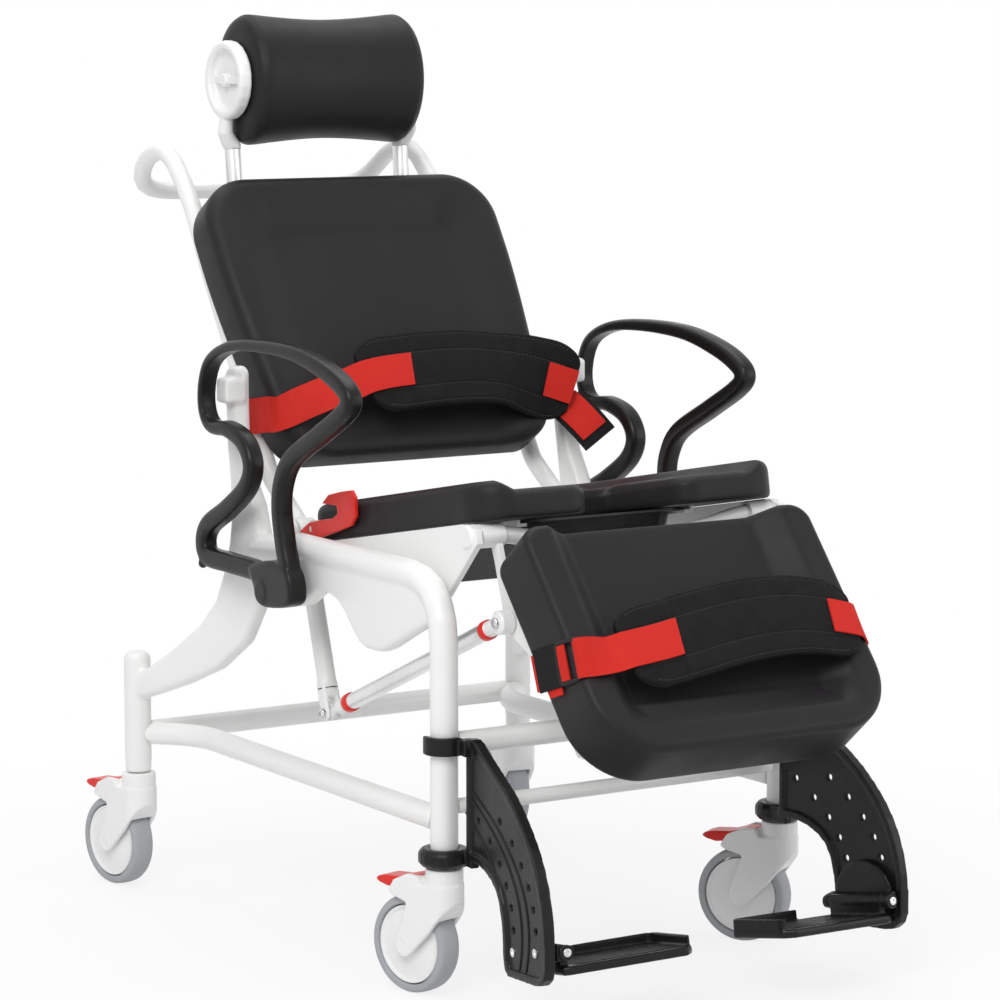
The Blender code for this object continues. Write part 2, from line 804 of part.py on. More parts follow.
def build_castors(white, grey, red):
    axle_turn = Matrix.Rotation(math.radians(90), 4, "X")
    axle_shift = Matrix.Translation((WHEEL_TRAIL, 0, WHEEL_RADIUS))
    for name, x, y, angle in CASTORS:
        stand = Matrix.Translation((x, y, 0)) @ Matrix.Rotation(math.radians(angle), 4, "Z")
        axle = stand @ Vector((WHEEL_TRAIL, 0, WHEEL_RADIUS))
        pedal_axis = stand @ Vector((PEDAL_AXIS[0], 0, PEDAL_AXIS[1]))
        wheel = stand @ axle_shift @ axle_turn
        add("castor_fork_" + name, moved(castor_fork(), stand), white, (x, y, COLLAR_TOP_Z))
        add("castor_tyre_" + name, moved(castor_tyre(), wheel), grey, axle)
        add("castor_hub_" + name, moved(castor_hub(), wheel), white, axle)
        add("brake_pedal_" + name, moved(brake_pedal(), stand), red, pedal_axis)


# Seat unit

def seat_side():
    """Side plate of the seat frame, with its knee and back hubs and the tilt pin."""
    outline = [
        (-0.258, 0.5915),
        (-0.226, seat_bottom(-0.226) - 0.0004),
        (0.185, seat_bottom(0.185) - 0.0004),
        (0.205, 0.540),
        (0.226, 0.540),
        (0.226, 0.520),
        (0.160, 0.485),
        (0.000, 0.467),
        (-0.100, 0.466),
        (-0.150, 0.476),
        (-0.190, 0.499),
        (-0.262, 0.574),
    ]
    plate = prism(outline, *SEAT_SIDE_X, "x", 0.001)
    knee = prism(disc_outline(KNEE_PIVOT, 0.0155, 14), HUB_X[0], HUB_X[1], "x", 0.003)
    back = prism(disc_outline(BACK_PIVOT, 0.018, 14), *BACK_HUB_X, "x", 0.003)
    pin = rod_x(TILT_PIVOT, TILT_PIN_RADIUS, SEAT_SIDE_X[1] - 0.004, GUSSET_X[0] + 0.014)
    ear_outline = [
        (0.128, 0.515),
        (0.170, 0.511),
        (0.163, 0.5500),
        (0.155, 0.5555),
        (0.141, 0.5570),
        (0.135, 0.5540),
    ]
    ear = prism(ear_outline, *CLIP_EAR_X, "x")
    clip_pin = rod_x(SEAT_CLIP_PIVOT, CLIP_PIN_RADIUS, CLIP_EAR_X[0] + 0.001, CLIP_X[1] - 0.0012)
    return union(plate, knee, back, pin, ear, clip_pin)


def seat_outline():
    """Horseshoe outline of the seat in its own plane, as (across, along)."""
    half = SEAT_HALF_WIDTH
    left = []
    for k in range(6):
        angle = math.radians(-90 + 90 * k / 5)
        left.append((half - 0.050 + 0.050 * math.cos(angle), SEAT_FRONT + 0.050 + 0.050 * math.sin(angle)))
    for k in range(6):
        angle = math.radians(90 * k / 5)
        left.append((half - 0.055 + 0.055 * math.cos(angle), SEAT_REAR - 0.055 + 0.055 * math.sin(angle)))
    inner = []
    for k in range(9):
        angle = math.radians(90 - 150 * k / 8)
        across = SEAT_HOLE_HALF * math.cos(angle)
        along = SEAT_HOLE_MIDDLE + 0.105 * math.sin(angle)
        inner.append((across, along))
    inner[-1] = (SEAT_MOUTH_HALF, -0.125)
    for k in range(5):
        angle = math.radians(180 + 90 * k / 4)
        across = SEAT_MOUTH_HALF + SEAT_MOUTH_ROUND * (1 + math.cos(angle))
        inner.append((across, SEAT_FRONT + SEAT_MOUTH_ROUND * (1 + math.sin(angle))))
    right = [(-p, q) for p, q in reversed(left)]
    right_inner = [(-p, q) for p, q in reversed(inner[1:])]
    return left + right + right_inner + inner


def seat_pad():
    """The moulded horseshoe seat with rounded rims and a raised outer edge."""
    outline = seat_outline()
    if signed_area(outline) < 0:
        outline.reverse()
    rims = [
        (0.001, -SEAT_THICK),
        (0.0, -SEAT_THICK + 0.001),
        (0.0, -0.013),
        (0.0035, -0.0045),
        (0.012, 0.0),
        (0.026, -0.003),
    ]
    rings = []
    for distance, height in rims:
        ring = inset(outline, distance) if distance else outline
        rings.append([seat_point(p, q, height) for p, q in ring])
    return skin(rings)


def commode_pan():
    """An open tub with a flange on its long sides."""
    top = -SEAT_THICK - 0.0015
    bottom = top - PAN_DEPTH
    middle = (PAN_FRONT + PAN_REAR) / 2
    half_along = (PAN_REAR - PAN_FRONT) / 2

    def ring(half_across, half_long, height):
        outline = rounded_rectangle(half_across, half_long, 0.03, 3)
        return [seat_point(p, middle + q, height) for p, q in outline]

    rings = [
        ring(0.100 - PAN_WALL, half_along - 0.020 - PAN_WALL, bottom + PAN_WALL),
        ring(PAN_HALF_WIDTH - PAN_WALL, half_along - 0.010 - PAN_WALL, top),
        ring(PAN_FLANGE, half_along, top),
        ring(PAN_FLANGE, half_along, top - 0.003),
        ring(PAN_HALF_WIDTH, half_along - 0.010, top - 0.0032),
        ring(0.100, half_along - 0.020, bottom),
    ]
    return skin(rings)


def pan_rail():
    """An angle rail under the seat that the pan's flange slides on."""
    top = -SEAT_THICK - GAP
    ledge_top = -SEAT_THICK - 0.0015 - 0.003 - GAP
    outline = [
        (PAN_FLANGE + 0.002, top),
        (PAN_FLANGE + 0.006, top),
        (PAN_FLANGE + 0.006, ledge_top - 0.004),
        (PAN_HALF_WIDTH + 0.0035, ledge_top - 0.004),
        (PAN_HALF_WIDTH + 0.0035, ledge_top),
        (PAN_FLANGE + 0.002, ledge_top),
    ]
    rings = [[seat_point(p, along, q) for p, q in outline] for along in (PAN_FRONT, PAN_REAR + 0.02)]
    return skin(rings)


def seat_clip():
    """The hooked red clip that holds the seat down on its frame."""
    outline = [
        (0.178, 0.5375),
        (0.152, 0.553),
        (0.118, 0.5605),
        (0.088, 0.566),
        (0.075, 0.574),
        (0.078, 0.5835),
        (0.116, 0.5825),
        (0.100, 0.5955),
        (0.068, 0.603),
        (0.040, 0.608),
        (0.031, 0.600),
        (0.029, 0.575),
        (0.040, 0.562),
        (0.070, 0.552),
        (0.121, 0.5365),
    ]
    bore = bore_radius(CLIP_PIN_RADIUS, PIN_SIDES)
    hole = rod_x(SEAT_CLIP_PIVOT, bore, CLIP_X[0] - 0.01, CLIP_X[1] + 0.01)
    return cut(prism(outline, *CLIP_X, "x", 0.001), hole)


def build_seat(white, black, red):
    tilt_axis = (SEAT_SIDE_X[0], *TILT_PIVOT)
    add_pair("seat_side", seat_side(), white, tilt_axis)
    knee_end = HUB_X[0] - GAP
    knee = rod_x(KNEE_PIVOT, KNEE_TUBE_RADIUS, -knee_end, knee_end, SHAFT_SIDES)
    add("knee_tube", knee, white, (0, *KNEE_PIVOT))
    back_end = BACK_HUB_X[0] - GAP
    shaft = rod_x(BACK_PIVOT, BACK_SHAFT_RADIUS, -back_end, back_end, SHAFT_SIDES)
    add("back_shaft", shaft, white, (0, *BACK_PIVOT))
    add("seat_pad", seat_pad(), black, (0, *TILT_PIVOT))
    add("commode_pan", commode_pan(), black, seat_point(0, 0, -SEAT_THICK))
    add_pair("pan_rail", pan_rail(), white)
    add_pair("seat_clip", seat_clip(), red, (CLIP_X[0], *SEAT_CLIP_PIVOT))


# Back

def rounded_outline(half_width, half_height, top_radius, bottom_radius, steps):
    """Outline of a pad with its own corner radii at the top and the bottom, as (across, up)."""
    points = []
    corners = (
        (1, 1, 0, top_radius),
        (-1, 1, 90, top_radius),
        (-1, -1, 180, bottom_radius),
        (1, -1, 270, bottom_radius),
    )
    for sign_p, sign_q, start, radius in corners:
        for k in range(steps + 1):
            angle = math.radians(start + 90 * k / steps)
            p = sign_p * (half_width - radius) + radius * math.cos(angle)
            q = sign_q * (half_height - radius) + radius * math.sin(angle)
            points.append((p, q))
    return points


def with_side_points(outline, across_steps):
    """Split the long straight runs of an outline so that a curved face has points to bend at."""
    result = []
    for here, after in zip(outline, outline[1:] + outline[:1]):
        length = (Vector(after) - Vector(here)).length
        pieces = max(1, round(length / across_steps))
        for k in range(pieces):
            t = k / pieces
            result.append((here[0] + (after[0] - here[0]) * t, here[1] + (after[1] - here[1]) * t))
    return result


def dished_pad(frame, outline, thick, edge, relief):
    """A moulded pad: flat back, rounded rims and a front face pressed in by relief(across, up)."""
    outline = with_side_points(outline, 0.045)
    half = thick / 2
    rings = []
    back_rim = inset(outline, edge * 0.5)
    rings.append([frame.at(p, q, -half) for p, q in back_rim])
    rings.append([frame.at(p, q, -half + edge * 0.5) for p, q in outline])
    rings.append([frame.at(p, q, half - edge - 0.7 * relief(p, q)) for p, q in outline])
    shoulder = inset(outline, edge * 0.3)
    rings.append([frame.at(p, q, half - edge * 0.3 - 0.7 * relief(p, q)) for p, q in shoulder])
    face = inset(outline, edge)
    for scale in (1.0, 0.93, 0.84, 0.72, 0.5, 0.25):
        ring = [(p * scale, q * scale) for p, q in face]
        rings.append([frame.at(p, q, half - relief(p, q)) for p, q in ring])
    return skin(rings)


def soft_step(value, start, end):
    """Goes smoothly from 0 at start to 1 at end."""
    t = min(1.0, max(0.0, (value - start) / (end - start)))
    return t * t * (3 - 2 * t)


def back_relief(across, up):
    """The back pad is dished between its two side bolsters and runs out flat at its top edge."""
    rise = BACK_HALF_WIDTH - BACK_BOLSTER
    side = 1 - soft_step(abs(across), rise - 0.060, rise)
    return 0.022 * side * (1 - soft_step(up, 0.120, BACK_HALF_HEIGHT - 0.010))


def calf_relief(across, up):
    """The calf pad is dished between its side bolsters down to a step near its lower edge."""
    rise = CALF_HALF_WIDTH - CALF_BOLSTER
    side = 1 - soft_step(abs(across), rise - 0.045, rise)
    lower = soft_step(up, -0.150, -0.105)
    return 0.030 * side * lower


def back_half_width(up):
    """Half the back pad's width at a level: it narrows towards the seat."""
    return BACK_HALF_WIDTH - BACK_TAPER * soft_step(-up, -0.100, BACK_HALF_HEIGHT)


def back_pad():
    outline = rounded_outline(BACK_HALF_WIDTH, BACK_HALF_HEIGHT, 0.075, 0.055, 4)
    outline = with_side_points(outline, 0.045)
    outline = [(p * back_half_width(q) / BACK_HALF_WIDTH, q) for p, q in outline]
    return dished_pad(BACK, outline, BACK_THICK, 0.020, back_relief)


def back_tube_path():
    """Half of the back frame's tube, from the rod lever up to the middle of the push bar."""
    behind = -BACK_THICK / 2 - BACK_TUBE_OFFSET
    low = BACK.at(BACK_TUBE_X, -0.215, behind)
    high = BACK.at(BACK_TUBE_X, 0.120, behind)
    lever_top = Vector((BACK_TUBE_X, *BACK_PIVOT))
    lever_end = Vector((BACK_TUBE_X, *ROD_REAR_PIVOT))
    lever_end = lever_end + (lever_top - lever_end).normalized() * 0.030
    lower = rounded_path([lever_end, lever_top, low, high], 0.05, 3)
    bar_route = [
        (0.008, 0.541, 0.948),
        (0.010, 0.598, 1.008),
        (0.010, 0.640, 1.024),
        (0.012, 0.687, 1.011),
        (0.020, 0.720, 0.984),
        (0.043, 0.737, 0.967),
        (0.085, 0.741, 0.962),
        (0.150, 0.741, 0.962),
    ]
    handle = smooth_path([high] + [(BACK_TUBE_X - inward, y, z) for inward, y, z in bar_route], 2)
    return lower + handle[1:]


def rod_fork():
    """The forked fitting on the lever's end that takes the calf rod."""
    pivot = Vector(ROD_REAR_PIVOT)
    upward = (Vector(BACK_PIVOT) - pivot).normalized()
    across = Vector((-upward.y, upward.x))
    outline = [pivot + upward * 0.042 + across * 0.0095, pivot + upward * 0.042 - across * 0.0095]
    start = math.atan2(-across.y, -across.x)
    for k in range(7):
        angle = start - math.pi * k / 6
        outline.append(pivot + Vector((math.cos(angle), math.sin(angle))) * 0.0115)
    cheeks = prism(outline, ROD_X - 0.0120, ROD_X + 0.0120, "x", 0.0015)
    reach = 0.026
    slot = [
        pivot + upward * 0.020 + across * reach,
        pivot + upward * 0.020 - across * reach,
        pivot - upward * reach - across * reach,
        pivot - upward * reach + across * reach,
    ]
    cheeks = cut(cheeks, prism(slot, ROD_X - 0.0056, ROD_X + 0.0056, "x"))
    pin = rod_x(ROD_REAR_PIVOT, ROD_PIN_RADIUS, ROD_X - 0.0105, ROD_X + 0.0105)
    return union(cheeks, pin)


def back_frame():
    """One bent tube: both rod levers, the back's uprights and the push bar."""
    half = back_tube_path()
    path = half + [Vector((-p.x, p.y, p.z)) for p in reversed(half)]
    frame = tube(path, BACK_TUBE_RADIUS, 10, (1, 0, 0))
    eye = rod_x(BACK_PIVOT, 0.0185, BACK_TUBE_X - 0.0135, BACK_TUBE_X + 0.0130, 14)
    fork = rod_fork()
    frame = union(frame, eye, mirrored(eye), fork, mirrored(fork))
    radius = bore_radius(BACK_SHAFT_RADIUS, SHAFT_SIDES)
    bore = rod_x(BACK_PIVOT, radius, BACK_TUBE_X - 0.040, BACK_TUBE_X + 0.020, SHAFT_SIDES)
    return cut(frame, bore, mirrored(bore))


def head_holder():
    """The bar between the back tubes with sockets for the headrest posts."""
    end = BACK_TUBE_X - BACK_TUBE_RADIUS - 0.0005
    back = -BACK_THICK / 2
    front = back - 0.0004
    rear = back - 0.033
    corners = [(0.060, front), (0.105, front), (0.105, rear), (0.060, rear)]
    outline = [BACK.yz(up, depth) for up, depth in corners]
    bar = prism(outline, -end, end, "x", 0.003)
    centre = back - HEAD_POST_OFFSET
    sockets = []
    for x in (-HEAD_POST_X, HEAD_POST_X):
        ends = [BACK.at(x, 0.03, centre), BACK.at(x, 0.13, centre)]
        sockets.append(tube(ends, HEAD_POST_RADIUS + GAP, 12))
    return cut(bar, *sockets)


def head_post_corners():
    """Lower end, bend and upper end of a headrest post."""
    centre = -BACK_THICK / 2 - HEAD_POST_OFFSET
    return [
        BACK.at(HEAD_POST_X, -0.030, centre),
        BACK.at(HEAD_POST_X, 0.212, centre),
        Vector((HEAD_POST_X, 0.5450, HEAD_POST_TOP_Z)),
    ]


def head_post():
    """A headrest post: straight in its socket and bent upright above the pad."""
    return tube(rounded_path(head_post_corners(), 0.06, 4), HEAD_POST_RADIUS, 12)


def head_neck(end):
    """The fitting on a post's top that carries the round bracket, up to an end point."""
    bend, top = head_post_corners()[1:]
    upward = (top - bend).normalized()
    path = [
        top + upward * GAP,
        top + upward * 0.004,
        (0.1415, 0.5445, 1.039),
        (0.1490, 0.5415, 1.052),
        end,
    ]
    radii = (0.0125, 0.0125, 0.0120, 0.0110, 0.0095)
    sections = [circle(radius, 12) for radius in radii]
    return sweep(path, sections, (1, 0, 0))


def on_head_axis(mesh):
    """Lay a turned mesh on the headrest's own axis."""
    return moved(mesh, Matrix.Translation((0, *HEAD_CENTRE)) @ Matrix.Rotation(math.radians(90), 4, "Y"))


def head_pivot():
    """The plain round pivot at the headrest's left end, hidden behind the cushion from the front."""
    low, high = HEAD_PIVOT_X
    radius = HEAD_PIVOT_RADIUS
    edge = 0.002
    profile = [
        (0, low),
        (radius - edge, low),
        (radius, low + edge),
        (radius, high - edge),
        (radius - edge, high),
        (0, high),
    ]
    return union(on_head_axis(turned(profile, 18)), head_neck((0.1475, 0.5370, 1.104)))


def head_bracket():
    """The large round bracket at the headrest's right end, recessed outside for the knob."""
    low, high = HEAD_DISC_X
    profile = [
        (0, low),
        (HEAD_DISC_RADIUS - 0.005, low),
        (HEAD_DISC_RADIUS, low + 0.004),
        (HEAD_DISC_RADIUS, high - 0.004),
        (HEAD_DISC_RADIUS - 0.003, high),
        (HEAD_DISC_RADIUS - 0.010, high),
        (HEAD_DISC_RADIUS - 0.013, high - 0.003),
        (HEAD_DISC_RADIUS - 0.013, high - 0.012),
        (0, high - 0.012),
    ]
    return union(on_head_axis(turned(profile, 22)), head_neck((0.1475, 0.5390, 1.078)))


def head_cushion():
    """The bolster, fuller at its two ends than in the middle."""
    stations = (
        (-1.0, 0.60),
        (-0.985, 0.78),
        (-0.94, 0.93),
        (-0.86, 1.0),
        (-0.60, 0.965),
        (-0.30, 0.93),
        (0.0, 0.915),
        (0.30, 0.93),
        (0.60, 0.965),
        (0.86, 1.0),
        (0.94, 0.93),
        (0.985, 0.78),
        (1.0, 0.60),
    )
    rings = []
    for along, scale in stations:
        ring = []
        for p, q in circle(1.0, 20):
            y = HEAD_CENTRE[0] + p * HEAD_HALF_DEPTH * scale
            z = HEAD_CENTRE[1] + q * HEAD_HALF_HEIGHT * scale
            ring.append((along * HEAD_HALF_LENGTH, y, z))
        rings.append(ring)
    return skin(rings)


def head_knob():
    """The clamp knob in the bracket's recess, a hub with a wing bar."""
    face = HEAD_DISC_X[1] - 0.012 + GAP
    hub = prism(disc_outline(HEAD_CENTRE, 0.0095, 16), face, HEAD_DISC_X[1] - 0.0005, "x", 0.0015)
    y, z = HEAD_CENTRE
    wing = box((face + 0.0015, face + 0.0085), (y - 0.029, y + 0.029), (z - 0.0055, z + 0.0055), 0.001)
    return union(hub, wing)


def strap(frame, route, half_width, level, thick_web, thick_pad, pad_from, pad_to):
    """A strap across a pad: a narrow web with a broad padded stretch, along a route of (across, front)."""
    path = smooth_path([(p, 0.0, q) for p, q in route], 2)
    section_list = []
    points = []
    for point in path:
        begun = soft_step(point.x, pad_from - 0.012, pad_from)
        inside = begun * (1 - soft_step(point.x, pad_to, pad_to + 0.012))
        half_height = WEB_HALF_WIDTH + (half_width - WEB_HALF_WIDTH) * inside
        half_thick = (thick_web + (thick_pad - thick_web) * inside) / 2
        section_list.append(rounded_rectangle(half_height, half_thick, half_thick * 0.9, 1))
        points.append(frame.at(point.x, level, point.z))
    return sweep(points, section_list, frame.up)


def back_belt():
    side = back_half_width(BELT_LEVEL + WEB_HALF_WIDTH)
    half = [
        (side + STRAP_LIFT, -0.018),
        (side + STRAP_LIFT, 0.010),
        (side - 0.0040, 0.0315),
        (side - 0.0480, 0.0425),
        (side - 0.1330, 0.0530),
        (side - 0.2030, 0.0570),
    ]
    route = [(-p, q) for p, q in half] + half[::-1]
    return strap(BACK, route, BELT_HALF_WIDTH, BELT_LEVEL, 0.003, 0.011, 0.135 - side, side - 0.032)


def build_back(white, black, silver):
    hinge = (0, *BACK_PIVOT)
    add("back_frame", back_frame(), white, hinge)
    add("back_pad", back_pad(), black, hinge)
    add("back_belt", back_belt(), black, hinge)
    add("head_holder", head_holder(), white, hinge)
    add_pair("head_post", head_post(), silver)
    add("head_bracket_left", head_pivot(), white)
    add("head_bracket_right", mirrored(head_bracket()), white)
    add("head_cushion", head_cushion(), black, (0, *HEAD_CENTRE))
    add("head_knob_right", mirrored(head_knob()), white, (-HEAD_DISC_X[1], *HEAD_CENTRE))


# Armrests

def armrest():
    """A closed loop with a pivot block below and a ball-headed stop behind."""
    route = [
        (0.096, 0.478),
        (0.086, 0.500),
        (0.097, 0.535),
        (0.107, 0.580),
        (0.101, 0.617),
        (0.074, 0.651),
        (0.001, 0.689),
        (-0.056, 0.719),
        (-0.075, 0.737),
        (-0.057, 0.753),
        (-0.012, 0.769),
        (0.059, 0.781),
        (0.150, 0.782),
        (0.232, 0.775),
        (0.285, 0.757),
        (0.305, 0.730),
        (0.307, 0.696),
        (0.290, 0.676),
        (0.246, 0.674),
        (0.202, 0.659),
        (0.182, 0.630),
        (0.198, 0.598),
        (0.250, 0.565),
        (0.303, 0.538),
        (0.318, 0.514),
        (0.305, 0.495),
        (0.245, 0.493),
        (0.170, 0.491),
    ]
    points = [(ARM_X, y, z) for y, z in route]
    section = rounded_rectangle(ARM_HALF_WIDTH, ARM_HALF_DEPTH, 0.008, 1)
    path = thinned(smooth_path(points, 4, True), math.radians(15))
    loop = sweep(path, section, (1, 0, 0), True)
    block_outline = [
        (0.172, 0.500),
        (0.168, 0.480),
        (0.150, 0.455),
        (0.132, 0.449),
        (0.077, 0.457),
        (0.062, 0.473),
        (0.074, 0.505),
        (0.120, 0.512),
    ]
    block = prism(block_outline, *ARM_BLOCK_X, "x", 0.003)
    ball = moved(turned([(0, -0.007), (0.005, -0.005), (0.007, 0), (0.005, 0.005), (0, 0.007)], 12),
                 Matrix.Translation((ARM_X + 0.006, 0.316, 0.484)))
    rest = union(loop, block, ball)
    bore = bore_radius(ARM_PIN_RADIUS, PIN_SIDES)
    return cut(rest, rod_x(ARM_PIVOT, bore, ARM_BLOCK_X[0] - 0.01, ARM_BLOCK_X[0] + 0.0145))


def build_armrests(black):
    add_pair("armrest", armrest(), black, (ARM_X, *ARM_PIVOT))


# Calf support

def calf_frame():
    """Back plate with two side brackets, a hub on each at the knee."""
    behind = -CALF_THICK / 2
    back_plate_outline = [
        CALF.yz(-0.125, behind - GAP),
        CALF.yz(0.140, behind - GAP),
        CALF.yz(0.140, behind - 0.005),
        CALF.yz(-0.125, behind - 0.005),
    ]
    frame = prism(back_plate_outline, -CALF_PLATE_X[1] + 0.001, CALF_PLATE_X[1] - 0.001, "x")
    knee_up = (Vector((0, *KNEE_PIVOT)) - CALF.origin).dot(CALF.up)
    rod_up = (Vector((0, *ROD_FRONT_PIVOT)) - CALF.origin).dot(CALF.up)
    rod_out = (Vector((0, *ROD_FRONT_PIVOT)) - CALF.origin).dot(CALF.front) - behind
    shape = [
        (-0.120, -0.0015),
        (0.162, -0.0015),
        (knee_up, 0.0100),
        (knee_up + 0.004, -0.0060),
        (0.165, -0.0160),
        (rod_up + 0.022, rod_out - 0.0060),
        (rod_up + 0.008, rod_out - 0.0140),
        (rod_up - 0.008, rod_out - 0.0130),
        (0.012, -0.0120),
        (-0.120, -0.0100),
    ]
    outline = [CALF.yz(up, behind + out) for up, out in shape]
    plate = prism(outline, *CALF_PLATE_X, "x")
    hub = rod_x(KNEE_PIVOT, 0.0152, CALF_PLATE_X[0] - 0.0045, HUB_X[0] - 0.0008, 14)
    frame = union(frame, plate, mirrored(plate), hub, mirrored(hub))
    radius = bore_radius(KNEE_TUBE_RADIUS, SHAFT_SIDES)
    bore = rod_x(KNEE_PIVOT, radius, CALF_PLATE_X[0] - 0.020, HUB_X[0] + 0.020, SHAFT_SIDES)
    return cut(frame, bore, mirrored(bore))


def calf_pad():
    outline = rounded_outline(CALF_HALF_WIDTH, CALF_HALF_HEIGHT, 0.028, 0.085, 4)
    return dished_pad(CALF, outline, CALF_THICK, 0.020, calf_relief)


def calf_strap():
    side = CALF_HALF_WIDTH
    half = [
        (side + STRAP_LIFT, -0.020),
        (side + STRAP_LIFT, 0.018),
        (side - 0.0045, 0.0400),
        (side - 0.0500, 0.0510),
        (side - 0.1250, 0.0620),
        (side - 0.1850, 0.0660),
    ]
    route = [(-p, q) for p, q in half] + half[::-1]
    return strap(CALF, route, STRAP_HALF_WIDTH, STRAP_LEVEL, 0.003, 0.010, 0.060 - side, side - 0.038)


def calf_rod():
    """The rod from the back's lever to the calf bracket: a tongue behind and an eye in front."""
    rear = Vector((ROD_X, *ROD_REAR_PIVOT))
    front = Vector((ROD_X, *ROD_FRONT_PIVOT))
    way = (front - rear).normalized()
    bar = tube([rear + way * 0.030, front - way * 0.010], ROD_RADIUS, 14)
    neck = tube([rear + way * 0.009, rear + way * 0.033], 0.0050, 12)
    tongue = rod_x(ROD_REAR_PIVOT, 0.0110, ROD_X - 0.0050, ROD_X + 0.0050, 16)
    eye_outline = disc_outline(ROD_FRONT_PIVOT, 0.0150, 18)
    eye = prism(eye_outline, CALF_PLATE_X[1] + 0.0008, ROD_X + 0.0085, "x", 0.002)
    screw = rod_x(ROD_FRONT_PIVOT, 0.0065, ROD_X + 0.005, ROD_X + 0.0105, 12)
    rod = union(bar, neck, tongue, eye, screw)
    bore = bore_radius(ROD_PIN_RADIUS, PIN_SIDES)
    return cut(rod, rod_x(ROD_REAR_PIVOT, bore, ROD_X - 0.02, ROD_X + 0.02))


def build_calf(white, black, silver):
    knee = (0, *KNEE_PIVOT)
    add("calf_frame", calf_frame(), white, knee)
    add("calf_pad", calf_pad(), black, knee)
    add("calf_strap", calf_strap(), black, knee)
    add_pair("calf_rod", calf_rod(), silver, (ROD_X, *ROD_REAR_PIVOT))


# Footrests

def foot_turned(mesh):
    """Turn a footrest piece out about the left front leg."""
    about = Matrix.Translation((LEG_X, LEG_Y, 0))
    return moved(mesh, about @ Matrix.Rotation(FOOT_TOE_OUT, 4, "Z") @ about.inverted())


def foot_hinged(mesh):
    """Place a piece made about the footplate's hinge: X out of the chair, Y to the rear along the pin."""
    place = Matrix.Translation((FOOT_HINGE_X, *FOOT_HINGE_FRONT)) @ Matrix.Rotation(-FOOT_PITCH, 4, "X")
    return foot_turned(moved(mesh, place))


def hole_rows():
    """Centres of the two curved rows of holes in a footrest arm, as (distance from the leg, z)."""
    rows = []
    for start, bend, end in (
        ((0.0563, 0.2345), (0.1686, 0.1768), (0.157, 0.092)),
        ((0.1185, 0.2455), (0.2312, 0.1867), (0.219, 0.105)),
    ):
        for k in range(7):
            t = k / 6
            reach = (1 - t) ** 2 * start[0] + 2 * t * (1 - t) * bend[0] + t * t * end[0]
            z = (1 - t) ** 2 * start[1] + 2 * t * (1 - t) * bend[1] + t * t * end[1]
            rows.append((reach, z))
    return rows


def pierced_plate(outline, holes, low, high):
    """A flat plate across X with holes right through it."""
    bm = bmesh.new()
    edges = []
    for loop in [outline] + holes:
        verts = [bm.verts.new((low, p, q)) for p, q in loop]
        for a, b in zip(verts, verts[1:] + verts[:1]):
            edges.append(bm.edges.new((a, b)))
    filled = bmesh.ops.triangle_fill(bm, use_beauty=True, use_dissolve=False, edges=edges)
    faces = [item for item in filled["geom"] if isinstance(item, bmesh.types.BMFace)]
    raised = bmesh.ops.extrude_face_region(bm, geom=faces)
    top = [item for item in raised["geom"] if isinstance(item, bmesh.types.BMVert)]
    bmesh.ops.translate(bm, verts=top, vec=(high - low, 0, 0))
    return finish_mesh(bm)


def foot_arm_outline():
    """Outline of the curved footrest arm, as (distance from the leg, z)."""
    return [
        (0.0285, 0.3325),
        (0.045, 0.3335),
        (0.057, 0.330),
        (0.073, 0.3205),
        (0.108, 0.3035),
        (0.1445, 0.2855),
        (0.1715, 0.267),
        (0.193, 0.248),
        (0.212, 0.2285),
        (0.2265, 0.2085),
        (0.238, 0.187),
        (0.246, 0.165),
        (0.252, 0.140),
        (0.2545, 0.115),
        (0.255, 0.092),
        (0.2505, 0.079),
        (0.240, 0.070),
        (0.225, 0.0665),
        (0.150, 0.0605),
        (0.1405, 0.0655),
        (0.136, 0.082),
        (0.134, 0.105),
        (0.1315, 0.122),
        (0.1255, 0.142),
        (0.116, 0.158),
        (0.102, 0.1685),
        (0.083, 0.1765),
        (0.062, 0.1805),
        (0.0285, 0.1800),
    ]


def before_leg(points):
    """Points given by their distance in front of the leg, as (y, z)."""
    return [(LEG_Y - reach, z) for reach, z in points]


def foot_arm():
    """Curved arm that hangs on the front leg, with a ring below and an open clip above."""
    outline = before_leg(foot_arm_outline())
    low, high = FOOT_ARM_X
    holes = [disc_outline(centre, FOOT_HOLE_RADIUS, 7) for centre in before_leg(hole_rows())]
    recess = inset(outline, FOOT_RIM)
    arm = cut(
        pierced_plate(outline, holes, low, high),
        prism(recess, low - 0.010, low + FOOT_WEB_INSET, "x"),
        prism(recess, high - FOOT_WEB_INSET, high + 0.010, "x"),
    )
    centre = (LEG_X, LEG_Y)
    ring_low, ring_high = FOOT_RING_Z
    ring_profile = [
        (FOOT_RING_INNER, ring_low),
        (FOOT_RING_OUTER - 0.005, ring_low),
        (FOOT_RING_OUTER, ring_low + 0.006),
        (FOOT_RING_OUTER, ring_high - 0.006),
        (FOOT_RING_OUTER - 0.005, ring_high),
        (FOOT_RING_INNER, ring_high),
    ]
    ring = moved(turned_ring(ring_profile, 20), Matrix.Translation((LEG_X, LEG_Y, 0)))
    clip = prism(arc_outline(centre, FOOT_RING_INNER, FOOT_CLIP_OUTER, -118, 18, 9), *FOOT_CLIP_Z, "z")
    low_bridge = box(
        (low + 0.001, high - 0.001),
        (LEG_Y - 0.042, LEG_Y - 0.0125),
        (ring_low + 0.002, ring_high - 0.0014),
    )
    top_bridge = box(
        (low + 0.0013, LEG_X - 0.0085),
        (LEG_Y - 0.0412, LEG_Y - 0.0195),
        (FOOT_CLIP_Z[0] + 0.0011, FOOT_CLIP_Z[1] - 0.0017),
    )
    return foot_turned(union(arm, ring, clip, low_bridge, top_bridge))


